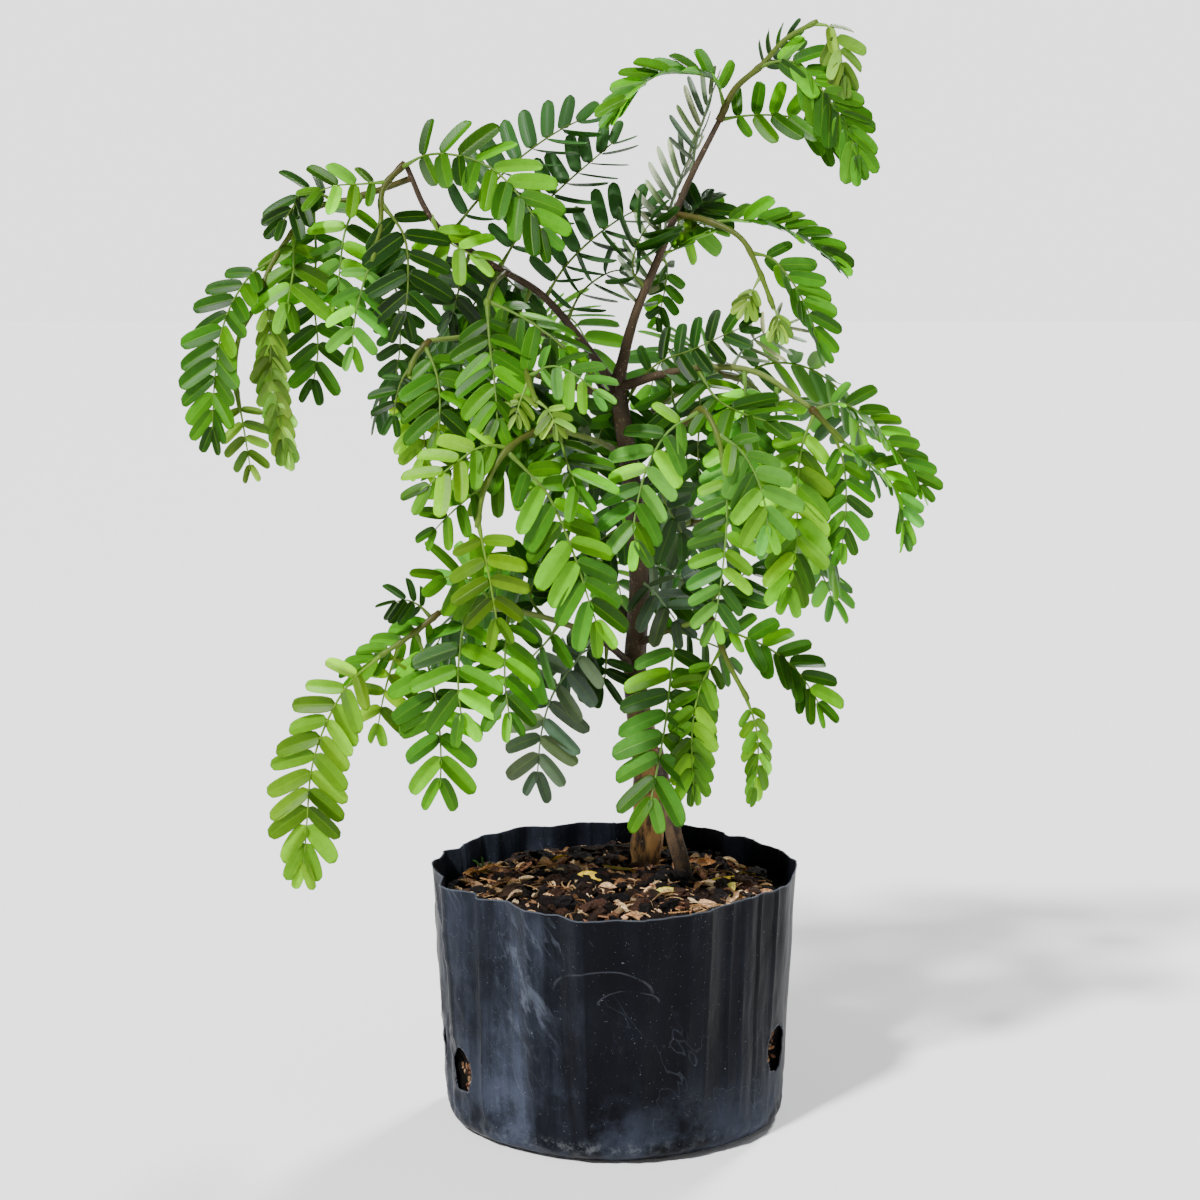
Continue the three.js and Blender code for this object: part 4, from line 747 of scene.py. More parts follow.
def leaflet_tint(tone, frond_light, draw):
    """A leaflet's colour at a drawn brightness, with painted light: a few leaflets painted sunlit, one half
    painted lighter than the other, and painted shade towards its foot at the rib.
    """
    along, across, _ = TEMPLATE.T
    light = frond_light * (0.3 + 1.38 * draw())
    warm = np.array([1.06 + 0.34 * (draw() - 0.4), 1.0, 0.9 - 0.4 * draw()])
    # Painted light: a share of leaflets painted lighter and yellower, as if sunlit.
    if tone in SUNLIT and draw() < SUNLIT_SHARE:
        light *= SUNLIT[tone]
        warm *= SUNLIT_WARMTH
    # Painted light and shade: one half of the blade lighter than the other, and darker towards its foot by
    # the rib.
    painted_half_light = 1 + 0.8 * (draw() - 0.5) * np.sign(across) + 0.55 * (along - 0.45)
    return np.outer(painted_half_light * light, linear(TONES[tone]) * warm)


def pair_shares(entry, length):
    """Where along its rib each of a leaf's pairs springs."""
    stalk = max(SHORTEST_STALK, length * BARE_STALK)
    run = length - stalk - TIP_REACH * entry["size"]
    square = entry["rake"] / USUAL_RAKE
    spacing = PAIR_SPACING * (0.32 + 0.68 * entry["size"] / LEAFLET_LENGTH) * (0.5 + 0.5 * square)
    spacing *= 0.65 if entry["tone"] == "grey" else 1
    pairs = max(4, round(run / spacing) + 1)
    return (stalk + run * np.arange(pairs) / (pairs - 1)) / length


def add_leaflets(pile, entry, line, draw):
    """Pairs of leaflets along one rib, turned further ahead towards its tip."""
    shares = pair_shares(entry, line_length(line))
    last = len(shares) - 1
    centres, alongs, ups, sides = frames_along(entry, line, shares)
    # Painted shade: leaves of the front view that sit farther back in the crown are darker.
    painted_depth_shade = min(0.86, max(0.66, 0.84 - 0.005 * line[:, 1].mean())) if entry["line"] else 1
    frond_light = (0.68 + 0.7 * draw()) * painted_depth_shade
    sag = 0.02 + 0.14 * draw() ** 2
    extra_fold = {-1: 16 * draw() ** 2, 1: 16 * draw() ** 2}
    slender = LEAFLET_SLENDERNESS * (1.3 - 0.3 * (entry["rake"] / USUAL_RAKE))
    slender *= 0.34 if entry["tone"] == "grey" else 1
    along, across, top = TEMPLATE.T
    for i, rib_share in enumerate(shares):
        share = i / last
        for sign in (-1, 1):
            fold = entry["fold"] + extra_fold[sign] + jitter(draw, FOLD_SPREAD)
            fold += math.copysign(BARE_FOLD, entry["fold"]) * max(0, entry["bare"] * sign)
            fold = math.radians(fold)
            lift, outward = turn_about(ups[i], sides[i] * sign, fold)
            rake = entry["rake"] * (1 - 0.18 * share - 0.5 * share ** 4)
            rake = math.radians(rake + jitter(draw, RAKE_SPREAD))
            reach = alongs[i] * math.cos(rake) + outward * math.sin(rake)
            reach = unit(reach - [0, 0, sag * (0.7 + 0.6 * draw())])
            lift = unit(lift - reach * reach.dot(lift))
            ahead = np.cross(reach, lift) * -sign
            roll = jitter(draw, ROLL_SPREAD) + (EDGE_ON_ROLL if entry["edge"] in (sign, 2) else 0)
            ahead, lift = turn_about(ahead, lift, math.radians(roll))
            size = entry["size"] * (1.02 - 0.3 * abs(rib_share - 0.45) ** 1.4) * (0.9 + 0.16 * draw())
            if i in (0, last):
                size *= LAST_PAIR_SIZE if i else FIRST_PAIR_SIZE
            out, wide, rise = leaflet_shape(size, size * slender * (0.92 + 0.16 * draw()), draw)
            corners = (centres[i] + sides[i] * sign * 0.35 + np.outer(out, reach)
                       + np.outer(wide, ahead) + np.outer(rise, lift))
            faces = TEMPLATE_FACES if sign > 0 else TEMPLATE_FACES[:, ::-1]
            pile.add(corners, faces, tint=leaflet_tint(entry["tone"], frond_light, draw),
                     along=along, across=across, top=top)


def add_green(pile, line, radii, sides, tint):
    """A plain green stem or rib."""
    corners, faces = tube(line, radii, sides)
    pile.add(corners, faces, tint=tint, along=0.5, across=0.5, top=1.0)


def add_rib(pile, entry, line):
    length = line_length(line)
    end = 1 - TIP_REACH * entry["size"] * 0.9 / length
    count = max(8, int(length / (4)))
    centres, _ = at_shares(line, np.linspace(0, end, count))
    radii = np.linspace(0.85, 0.42, count)
    radii[:3] = [1.5, 1.35, 1.0]
    radii *= 0.55 + 0.45 * entry["size"] / LEAFLET_LENGTH
    add_green(pile, centres, radii, 6, linear(TONES[entry["tone"]]) * 0.5 + linear("#7f9440") * 0.5)


def leaf_piece(plan, material, slots, order):
    pile = Pile()
    for i, (entry, line) in enumerate(plan["leaves"]):
        add_rib(pile, entry, line)
        add_leaflets(pile, entry, line, seeded_draw(LEAF_SEED + SPRAY_SEED_STEP * order + i))
    if plan["stem"] is not None:
        add_green_stem(pile, plan)
    pile.build(plan["name"] + "_leaves", material, slots[plan["name"]], [plan["name"]])


def inner_piece(plans, material, slot):
    """Leaves that fill the crown from within."""
    pile = Pile()
    carriers = {**LIMBS, **{plan["name"]: plan["stem"] for plan in plans}}
    leaves = [(group["from"], entry) for group in INNER_SPRAYS for entry in group["leaves"]]
    for i, (carrier, entry) in enumerate(leaves):
        line = rib_line(carriers[carrier], entry)
        add_rib(pile, entry, line)
        add_leaflets(pile, entry, line, seeded_draw(INNER_SEED + INNER_SEED_STEP * i))
    pile.build("inner_leaves", material, slot)


def add_green_stem(pile, plan):
    """The green stem of a spray, swollen where each leaf springs, and browner at its foot."""
    sides = 10
    line = smooth(plan["stem"], 8)
    radii = np.linspace(*plan["thick"], len(line))
    for _, rib in plan["leaves"]:
        radii = radii + 0.5 * bell(np.linalg.norm(line - rib[0], axis=1), 2.2)
    share = np.repeat(np.linspace(0, 1, len(line)), sides)[:, None]
    add_green(pile, line, radii, sides, linear("#4d3c20") * (1 - share) + linear("#64802c") * share)


# Wood

BARK_STEP = 3.2
FINE_BARK_STEP = 2.6
OLD_BARK_TOP = 250
OLD_BARK_FADE = 120
TRUNK_SIDES = 40
LIMB_SIDES = 12
BROWN_LIMBS = ("trunk", "leader", "left_branch")


def bark_line(points, spacing):
    line = smooth(points, 16)
    count = max(6, int(line_length(line) / spacing))
    return at_shares(line, np.linspace(0, 1, count))[0]


def bark_roughness(corner):
    """How far the bark stands out at a corner: knots, grains and long furrows."""
    knots = ripple(*(corner * [0.35, 0.35, 0.12]))
    grains = ripple(*(corner * [0.9, 0.9, 0.45]))
    furrow = 1 - 2 * abs(ripple(*(corner * [0.55, 0.55, 0.05])))
    return 0.09 * knots + 0.05 * grains + 0.05 * furrow


def add_limb(pile, name):
    """One limb with furrowed, knotted bark, which is old low on the trunk and green at most limbs' tips."""
    line = bark_line(LIMBS[name], BARK_STEP)
    sides = TRUNK_SIDES if name == "trunk" else LIMB_SIDES
    reached = reached_along(LIMBS[name])
    places = np.linspace(0, reached[-1], len(line))
    radii = np.interp(places, reached, limb_radii(name))
    if name == "trunk":
        above = line[:, 2] - SOIL_MIDDLE_HEIGHT
        radii = radii * (0.96 - 0.2 * bell(above - 1, 6) - 0.03 * bell(above - 20, 14))
    else:
        radii = radii * (0.7 + 0.4 * np.exp(-places / 9))
    corners, faces = tube(line, radii, sides)
    centres = np.repeat(line, sides, axis=0)
    out = corners - centres
    rough = np.array([bark_roughness(corner) for corner in corners])[:, None]
    old = np.clip((OLD_BARK_TOP - corners[:, 2]) / OLD_BARK_FADE, 0, 1) * (name == "trunk")
    corners = centres + out * (1 + rough * (0.6 + 1.1 * old[:, None]))
    share = np.repeat(np.linspace(0, 1, len(line)), sides)
    green = np.clip((share - 0.3) / 0.5, 0, 0.8) * (name not in BROWN_LIMBS)
    pile.add(corners, faces, old=old, green=green)


def wood_piece(material):
    pile = Pile()
    for name in LIMBS:
        add_limb(pile, name)
    pile.build("woody_frame", material, "bark", ["trunk"])


def second_stem_piece(material):
    """A thinner stem with a groove along it, leaning on the trunk."""
    points = even_line([seen(*p) for p in SECOND_STEM_LINE], SECOND_STEM_SPACING)
    line = bark_line(rooted(points), FINE_BARK_STEP)
    line = line[: int(len(line) * SECOND_STEM_SHARE)]
    sides = 20
    taper = SECOND_STEM_RADIUS * np.array([1, 1.02, 0.72, 0.62])
    radii = np.interp(np.linspace(0, 1, len(line)), [0, 0.55, 0.78, 1], taper)
    turns = np.arange(sides) * 2 * math.pi / sides
    grooved = 1 - 0.5 * bell(half_turn(turns - GROOVE_TURN), 0.34)
    corners, faces = tube(line, [radius * grooved for radius in radii], sides)
    wobble = np.array([0.25 * ripple(*(corner * [0.3, 0.3, 0.1])) for corner in corners])
    corners = corners + unit(corners - np.repeat(line, sides, axis=0)) * wobble[:, None]
    pile = Pile()
    pile.add(corners, faces, old=1.0)
    pile.build("leaning_stem", material, "pale_bark", ["second_stem"])


# Bag

PLEAT_SEED = 7
CREASE_SEED = 61
CRINKLE_RADIUS = 95
REAR_CREASES = range(96, 262, 13)


def bag_place(radius, angle):
    """Across and depth of a place at a radius and an angle from the front."""
    return radius * math.sin(angle), -radius * math.cos(angle)


def edge_share(angle):
    """How near an angle lies to one of the bag's two flat edges, from 0 at the front and back to 1."""
    return math.sin(angle) ** 4


def quarter_share(angle):
    """How near an angle lies to the middle of a front quarter, where the film is pulled in and up."""
    return abs(math.sin(2 * angle)) ** 3 if math.cos(angle) > 0 else 0


def bag_radius(height, angle):
    """Outer radius of the bag at a height and an angle from the front, before the pleats."""
    corner = BAG_CORNER_RADIUS + (FLAT_EDGE_CORNER_RADIUS - BAG_CORNER_RADIUS) * edge_share(angle)
    foot = BAG_FOOT_RADIUS + FOOT_SPREAD * edge_share(angle)
    rim = BAG_RIM_RADIUS - QUARTER_DENT * quarter_share(angle)
    if height < corner:
        rise = 1 - height / corner
        return foot - corner * (1 - math.sqrt(max(0, 1 - rise * rise)))
    return foot + (rim - foot) * (height - corner) / (BAG_HEIGHT - corner)


def flat_edge_peak(angle):
    return FLAT_EDGE_RISE * math.sin(angle) ** 60


def bag_folds():
    """For each crest and hollow of the film an angle, a push in or out, and a lift of the rim.

    The hollows lie nearer the crest that faces the front, so the film steps like folded paper.
    """
    draw = seeded_draw(PLEAT_SEED)
    folds = []
    for i in range(BAG_PLEATS * 2):
        angle = math.pi * (i + 1 + jitter(draw, 0.5)) / BAG_PLEATS
        push = (-0.5 if i % 2 else 0.5) * PLEAT_DEPTH * (0.6 + 0.8 * draw())
        shift = -0.4 * math.sin(angle) * math.pi / BAG_PLEATS if i % 2 else 0
        lift = jitter(draw, RIM_WAVE) + (flat_edge_peak(angle) + QUARTER_RISE * quarter_share(angle))
        folds.append((angle + shift, push, lift))
    return np.array(folds)


FOLDS = bag_folds()
PUSH, LIFT = 1, 2

# Upright creases: the column where each meets the front of the rim, and how sharp it is.
FRONT_CREASES = [(440, 0.8), (467, 1.5), (502, 0.6), (542, 1.0), (585, 0.6), (645, 0.5), (694, 0.7),
                 (715, 0.6), (742, 1.3), (757, 0.5), (773, 1.4), (788, 0.8)]
RIM_ROW = 900
RIM_FRONT_DEPTH = -70


def creases():
    """Angle, sharpness and tone of each upright crease, all the way round."""
    draw = seeded_draw(CREASE_SEED)
    made = []
    for column, sharp in FRONT_CREASES:
        across = seen(column, RIM_ROW, RIM_FRONT_DEPTH)[0]
        made.append((math.asin(max(-1, min(1, across / BAG_RIM_RADIUS))), sharp, draw()))
    made += [(math.radians(angle + 8 * draw()), 0.4 + draw(), draw()) for angle in REAR_CREASES]
    return sorted(made)


CREASES = creases()


def crease_near(angle):
    """The crease on the front's side of an angle, how far the place lies behind it, and its panel's tone.

    How far is given as a share of the way to the next crease and as a gap in mm.
    """
    angles = [crease[0] for crease in CREASES]
    place = (angle - angles[0]) % (2 * math.pi) + angles[0]
    count = len(angles)
    index = sum(found <= place for found in angles) - 1
    after = angles[(index + 1) % count] + (2 * math.pi if index + 1 == count else 0)
    share = (place - angles[index]) / (after - angles[index])
    if math.sin(angle) < 0:
        return CREASES[(index + 1) % count], 1 - share, (after - place) * BAG_FOOT_RADIUS, CREASES[index][2]
    return CREASES[index], share, (place - angles[index]) * BAG_FOOT_RADIUS, CREASES[index][2]


def fold_value(angle, column):
    """Value of the folds at an angle, straight from one crest to the next hollow."""
    turns, values = FOLDS[:, 0], FOLDS[:, column]
    around = np.concatenate([turns[-1:] - 2 * math.pi, turns, turns[:1] + 2 * math.pi])
    values = np.concatenate([values[-1:], values, values[:1]])
    return np.interp((angle - around[0]) % (2 * math.pi) + around[0], around, values)


def edge_near(angle):
    """1 at and just behind the bag's two flat edges, falling away to 0 within about 20 degrees."""
    return bell(abs(math.degrees(half_turn(angle))) - 94, 13)


def upper_share(height):
    return max(0, (height - PLEAT_START) / (BAG_HEIGHT - PLEAT_START))


def pleat_push(angle, height, reach):
    """Push of the pleats: slight at the flat edges, at the right of the front and round a drain hole."""
    calm = 1 - 0.75 * max(0, math.sin(angle)) * (math.cos(angle) > 0)
    calm *= (1 - 0.6 * edge_near(angle)) * min(1, max(0, (reach - 1) / 1.2))
    return fold_value(angle, PUSH) * min(1, height / PLEAT_FULL) * (1 + 0.35 * upper_share(height)) * calm


def crease_push(angle, height):
    """Push of the film at its creases: a sharp edge on the front's side that falls away behind it."""
    (middle, sharp, _), share, gap, _ = crease_near(angle)
    strength = sharp * max(0, 0.75 + 0.8 * ripple(middle * 5.3, height * 0.013, 4))
    seen_square = 0.35 + 0.65 * abs(math.cos(angle))
    return seen_square * strength * (0.9 * bell(gap, 1.6) + 0.7 * math.exp(-gap / 7) - 0.3 * share)


# Drain holes near the two flat edges: angle from the front, height, width and height against the usual.
DRAIN_HOLES = [(-64.5, 37, 0.85, 0.95), (-82, 44, 0.5, 0.75), (-118, 44, 0.8, 0.9),
               (69.5, 47, 0.85, 1), (110, 50, 0.8, 0.9)]


def hole_reach(angle, height, hole, seed):
    """How far a place on the wall is from a hole's middle, against the ragged outline of the hole."""
    centre, middle, wide, tall = hole
    x = half_turn(angle - math.radians(centre)) * bag_radius(height, angle) / wide
    y = (height - middle) / tall
    if math.hypot(x, y) > FARTHEST_REACH * DRAIN_HOLE_RADIUS:
        return FARTHEST_REACH
    turn = math.atan2(y, x)
    ragged = 0.95 + 0.14 * ripple(math.cos(turn) * 1.7, math.sin(turn) * 1.7, seed)
    ragged += 0.07 * ripple(math.cos(turn) * 6, math.sin(turn) * 6, seed + 5)
    return math.hypot(x, y) / (DRAIN_HOLE_RADIUS * ragged)


def nearest_hole(angle, height):
    """How far a place is from the nearest hole, and which hole that is."""
    return min((hole_reach(angle, height, hole, k), k) for k, hole in enumerate(DRAIN_HOLES))


def crinkle(angle, height):
    """Creases of the thin film: upright all over, slanting at the left, gathered at the foot."""
    x, y = bag_place(CRINKLE_RADIUS, angle)
    upright = ripple(x * 0.09, y * 0.09, height * 0.012)
    slant = 1 - 2 * abs(ripple(x * 0.06 + height * 0.05, y * 0.045, height * 0.02 + 9))
    dents = ripple(x * 0.04, y * 0.04, height * 0.035 + 2)
    fine = ripple(x * 0.25, y * 0.25, height * 0.09)
    foot = bell(height - 10, 11) * ripple(x * 0.17, y * 0.17, height * 0.16)
    left = max(0, -math.sin(angle - 0.15)) ** 2
    return 0.5 * upright + 1.0 * slant ** 3 * left + 0.8 * dents + 0.18 * fine + 1.2 * foot


def rim_share(height):
    return max(0, (height - BAG_HEIGHT + RIM_BAND) / RIM_BAND)


def film_radius(angle, height):
    """Radius of the film's middle, with its pleats, creases, crinkles, wavy rim and torn hole edges."""
    rim = rim_share(height)
    reach, _ = nearest_hole(angle, height)
    radius = bag_radius(height, angle) + pleat_push(angle, height, reach)
    radius += crease_push(angle, height) * min(1, height / PLEAT_FULL)
    radius -= BAG_FILM / 2
    radius += crinkle(angle, height) * min(1, height / 8) * (1 - 0.5 * rim)
    radius += (1 - edge_near(angle)) * rim ** 2 * ripple(math.sin(angle) * 7, math.cos(angle) * 7, 3)
    radius += 0.3 * max(0, (height - BAG_HEIGHT + 1.6) / 1.6) ** 2
    return radius + 0.6 * bell(reach - 1, 0.16) * (0.6 + ripple(angle * 9, height * 0.2, 1))


def film_lift(angle, height):
    """How far the film stands above its height: in peaks at the flat edges, else in scallops and waves."""
    rim = rim_share(height)
    edge = edge_near(angle)
    (_, sharp, _), share, _, _ = crease_near(angle)
    scallop = sharp * (0.55 - share) * max(0, math.cos(angle)) ** 0.6
    lift = (fold_value(angle, LIFT) * (1 - edge) + flat_edge_peak(angle) * edge) * upper_share(height)
    lift += rim * scallop * (1 - edge)
    lift += 0.8 * rim * max(0, -math.cos(angle))
    return lift + (1 - edge) * rim * 0.6 * ripple(math.sin(angle) * 9, math.cos(angle) * 9, 5)


def film_point(angle, height):
    """The film's middle at an angle from the front and a height up the wall."""
    return *bag_place(film_radius(angle, height), angle), max(0, height + film_lift(angle, height))


def wall_heights():
    """Heights of the rings up the wall, closer at the foot, across the holes and at the rim."""
    low = [0, 0.25, 1, 2.2, 4, 6.2, 9, 12, 15, 18, 21]
    return low + [*np.arange(23, 64, 1.5), *np.linspace(65, 134, 32), 136.2, 137, 137.6, BAG_HEIGHT]


def bag_piece(material):
    """The film as a wall cut open at the drain holes, with a flat bottom, and its thickness inward."""
    columns = BAG_PLEATS * 24
    angles = np.arange(columns) * 2 * math.pi / columns
    spots = [(angle, height) for height in wall_heights() for angle in angles]
    reaches = [nearest_hole(angle, height) for angle, height in spots]
    faces = [face for face in grid_faces(len(spots) // columns, columns, wrap=True)
             if sum(reaches[i][0] < 1 for i in face) < 3]
    for i in {corner for face in faces for corner in face if reaches[corner][0] < 1}:
        (angle, height), (reach, which) = spots[i], reaches[i]
        centre, middle, _, _ = DRAIN_HOLES[which]
        centre = math.radians(centre)
        spots[i] = (centre + half_turn(angle - centre) / reach, middle + (height - middle) / reach)
    # The last corner is the middle of the bottom, far from any hole.
    corners = [film_point(angle, height) for angle, height in spots] + [(0, 0, 0)]
    faces += [((k + 1) % columns, k, len(spots)) for k in range(columns)]
    pile = Pile()
    pile.add(corners, faces, height=[height / BAG_HEIGHT for _, height in spots] + [0],
             torn=[max(reach, 1) for reach, _ in reaches] + [9],
             panel=[crease_near(angle)[3] for angle, _ in spots] + [0.5],
             around=[half_turn(angle) * BAG_RIM_RADIUS for angle, _ in spots] + [0])
    film = pile.build("grow_bag_film", material, "polythene", ["grow_bag"]).modifiers.new("film", "SOLIDIFY")
    film.thickness = BAG_FILM * MM
    film.offset = -1


# Potting mix

SIDE_HEIGHTS = (3.5, 6, 10, 16, 24, 32, 40, 48, 56, 64, 76, 90, 106, 118)
TOP_RINGS = 70
MIX_COLUMNS = 204
LITTER_PART = 1
FULL_TURN = 6.3
TRUNK_CLEARANCE = 13
SECOND_STEM_CLEARANCE = 8
GRAINS_A_HOLE = 34
HOLE_GRAIN_SEED = 71


def soil_top(x, y):
    """Height of the lumpy top of the mix."""
    share = min(1, math.hypot(x, y) / (BAG_RIM_RADIUS - 3))
    height = SOIL_MIDDLE_HEIGHT + (SOIL_EDGE_HEIGHT - SOIL_MIDDLE_HEIGHT) * share * share
    return height + (2.2 * ripple(x * 0.05, y * 0.05, 4) + 1.3 * ripple(x * 0.16, y * 0.16, 7))


def inner_radius(angle, height):
    """Radius of the mix against the film's inside."""
    return bag_radius(height, angle) + pleat_push(angle, height, nearest_hole(angle, height)[0]) - SOIL_INSET


def side_place(angle, height):
    """A place on the grainy side of the mix, sunk behind the drain holes."""
    grain = ripple(math.sin(angle) * 26, math.cos(angle) * 26, height * 0.3)
    sunk = 3 * min(1, 4 * max(0, 1.25 - nearest_hole(angle, height)[0]))
    return *bag_place(inner_radius(angle, height) - 0.9 - 0.8 * grain - sunk, angle), height


def top_place(angle, share):
    """A place on top of the mix, at a share of the way from its middle to the film."""
    x, y = bag_place(share * (inner_radius(angle, SOIL_EDGE_HEIGHT) - 0.6), angle)
    return x, y, soil_top(x, y)


def soil_piece(material):
    angles = np.arange(MIX_COLUMNS) * 2 * math.pi / MIX_COLUMNS
    rings = [[side_place(angle, height) for angle in angles] for height in SIDE_HEIGHTS]
    rings += [[top_place(angle, share) for angle in angles] for share in np.linspace(1, 0.02, TOP_RINGS)]
    faces = grid_faces(len(rings), MIX_COLUMNS, wrap=True) + ends_closed(len(rings), MIX_COLUMNS)
    pile = Pile()
    # The mix under the litter is near black: its own dark colour, deepened as painted shade for the gaps
    # between the pieces.
    pile.add(rings, faces, tint=linear("#070504"))
    add_litter(pile)
    add_hole_grains(pile)
    pile.build("potting_mix", material, "bark_mix", ["soil"], smooth=False)


LUMP_COLOURS = ["#16100f", "#1e1714", "#2b1f1a", "#38281f", "#241c1b", "#191617", "#4a3226"]
CHIP_COLOURS = ["#3c2a20", "#74503a", "#98684e", "#a87a58", "#2a1e18", "#c49a76"]
HUSK_COLOURS = ["#dcbc92", "#c49e76", "#e8cea4", "#9c7452", "#d4b088"]
SHRED_COLOURS = ["#c9a274", "#a87c50", "#7f5838", "#d8b080"]
DRY_LEAF_COLOURS = ["#d8b83c", "#cdc05c", "#c39440", "#a0703c", "#b0784a"]


def shade(draw, colours, least, spread):
    """One of some colours, in a drawn light."""
    return linear(pick(draw, colours)) * (least + spread * draw())


def litter_places(count, seed, reach):
    """Places spread evenly over the top of the mix, clear of the stems, and the draw to go on with."""
    draw = seeded_draw(seed)
    trunk, second_stem = LIMBS["trunk"][0][:2], seen(*SECOND_STEM_LINE[0])[:2]
    places = []
    while len(places) < int(count * LITTER_PART):
        share = math.sqrt(draw()) * reach
        angle = 2 * math.pi * draw()
        spot = np.array(bag_place(share * (bag_radius(SOIL_EDGE_HEIGHT, angle) - 6), angle))
        if (np.linalg.norm(spot - trunk) > TRUNK_CLEARANCE
                and np.linalg.norm(spot - second_stem) > SECOND_STEM_CLEARANCE):
            places.append(spot)
    return places, draw


def turned(corners, tilt_x, tilt_y, turn):
    """Corners turned about X, then Y, then Z."""
    (cx, cy, cz), (sx, sy, sz) = np.cos([tilt_x, tilt_y, turn]), np.sin([tilt_x, tilt_y, turn])
    roll = np.array([[1, 0, 0], [0, cx, -sx], [0, sx, cx]])
    pitch = np.array([[cy, 0, sy], [0, 1, 0], [-sy, 0, cy]])
    yaw = np.array([[cz, -sz, 0], [sz, cz, 0], [0, 0, 1]])
    return corners @ (yaw @ pitch @ roll).T


def tumbled(corners, draw, tilt_x, tilt_y):
    """Corners tilted a little and turned any way round."""
    return turned(corners, jitter(draw, tilt_x), jitter(draw, tilt_y), FULL_TURN * draw())


def lay(pile, x, y, lift, corners, faces, tint):
    """Puts a small thing on top of the mix."""
    pile.add(corners + [x, y, soil_top(x, y) + lift], faces, tint=tint)


def chip_shape(draw):
    """A flake of bark: an uneven six-sided slab with pinched ends."""
    outline = [(-0.5, -0.12), (-0.22, -0.5), (0.3, -0.42), (0.5, 0.05), (0.2, 0.5), (-0.3, 0.4)]
    sides = len(outline)
    outline = np.array(outline) * (0.8 + 0.4 * np.array([[draw(), draw()] for _ in outline]))
    low = np.column_stack([outline * 0.9, np.full(sides, -0.5)])
    high = np.column_stack([outline * 0.82, [0.5 + jitter(draw, 0.3) for _ in outline]])
    mid = np.column_stack([outline, np.zeros(sides)])
    return np.vstack([low, mid, high]), grid_faces(3, sides, wrap=True) + ends_closed(3, sides)


def lump_shape():
    """A round body of about sixty corners, to be dented into lumps of charred bark."""
    rings, around = 7, 10
    corners = [(0, 0, -1)]
    for i in range(1, rings):
        polar = math.pi * i / rings
        for k in range(around):
            turn = 2 * math.pi * (k + 0.5 * (i % 2)) / around
            wide = math.sin(polar)
            corners.append((wide * math.cos(turn), wide * math.sin(turn), -math.cos(polar)))
    corners.append((0, 0, 1))
    faces = [(0, 1 + (k + 1) % around, 1 + k) for k in range(around)]
    faces += grid_faces(rings - 1, around, wrap=True, first=1)
    last = 1 + (rings - 2) * around
    faces += [(last + k, last + (k + 1) % around, len(corners) - 1) for k in range(around)]
    return np.array(corners), faces


def add_lumps(pile, count, seed, low, high):
    """Dark lumps of charred bark, half sunk in the mix."""
    sphere, faces = lump_shape()
    places, draw = litter_places(count, seed, 0.96)
    for i, (x, y) in enumerate(places):
        length = low + (high - low) * draw() ** 1.6
        size = length * np.array([0.5, 0.28 + 0.14 * draw(), 0.2 + 0.14 * draw()])
        dents = np.array([0.8 + 0.42 * noise.noise(Vector(c * 1.3) + Vector((i * 1.7, 0, 0)))
                          + 0.26 * noise.noise(Vector(c * 3.6) + Vector((0, i * 1.3, 0))) for c in sphere])
        corners = tumbled(sphere * dents[:, None] * size, draw, 0.9, 0.9)
        tint = shade(draw, LUMP_COLOURS, 0.4, 0.8)
        lay(pile, x, y, 0.4 + length * 0.16 * draw(), corners, faces, tint)


def add_flakes(pile, count, seed, low, high):
    """Flat flakes of brown bark."""
    places, draw = litter_places(count, seed, 0.96)
    for x, y in places:
        shape, faces = chip_shape(draw)
        length = low + (high - low) * draw() ** 1.5
        size = np.array([length, length * (0.28 + 0.3 * draw()), 0.8 + length * 0.12 * draw()])
        corners = tumbled(shape * size, draw, 1.4, 1.1)
        tint = shade(draw, CHIP_COLOURS, 0.7, 1.2)
        lay(pile, x, y, 0.8 + 1.4 * draw() + length * 0.05, corners, faces, tint)


def add_shells(pile, colours, count, seed, low, high, curl, fixed=()):
    """Husks and fallen leaflets: thin, boat-shaped and lying at all angles. The fixed ones lie highest."""
    rows, lanes = 8, 5
    along, across = [v.ravel() for v in np.meshgrid(np.linspace(0, 1, rows), np.linspace(-1, 1, lanes),
                                                    indexing="ij")]
    outline = np.maximum(1 - np.abs(2 * along - 1) ** 2.1, 0) ** 0.7
    upper = grid_faces(rows, lanes)
    faces = upper + [tuple(rows * lanes + c for c in reversed(face)) for face in upper]
    places, draw = litter_places(count, seed, 0.94)
    for i, (x, y) in enumerate([*fixed, *places]):
        is_fixed = i < len(fixed)
        length = low + (high - low) * draw()
        width = length * (0.24 + 0.14 * draw())
        bowl = curl * width * (0.4 + 0.6 * draw()) * (across * outline) ** 2
        arch = 0.2 * length * (draw() - 0.6) * (2 * along - 1) ** 2
        top = np.column_stack([(along - 0.5) * length, across * outline * width / 2, bowl + arch])
        corners = tumbled(np.vstack([top, top - [0, 0, 0.35]]), draw, 1.3, 0.7)
        colour = colours[i % len(colours)] if is_fixed else pick(draw, colours)
        tint = linear(colour) * (0.9 + 1.1 * draw())
        lift = 1.2 + length * 0.1 + 1.2 * draw() + (1.5 if is_fixed else 0)
        lay(pile, x, y, lift, corners, faces, tint)


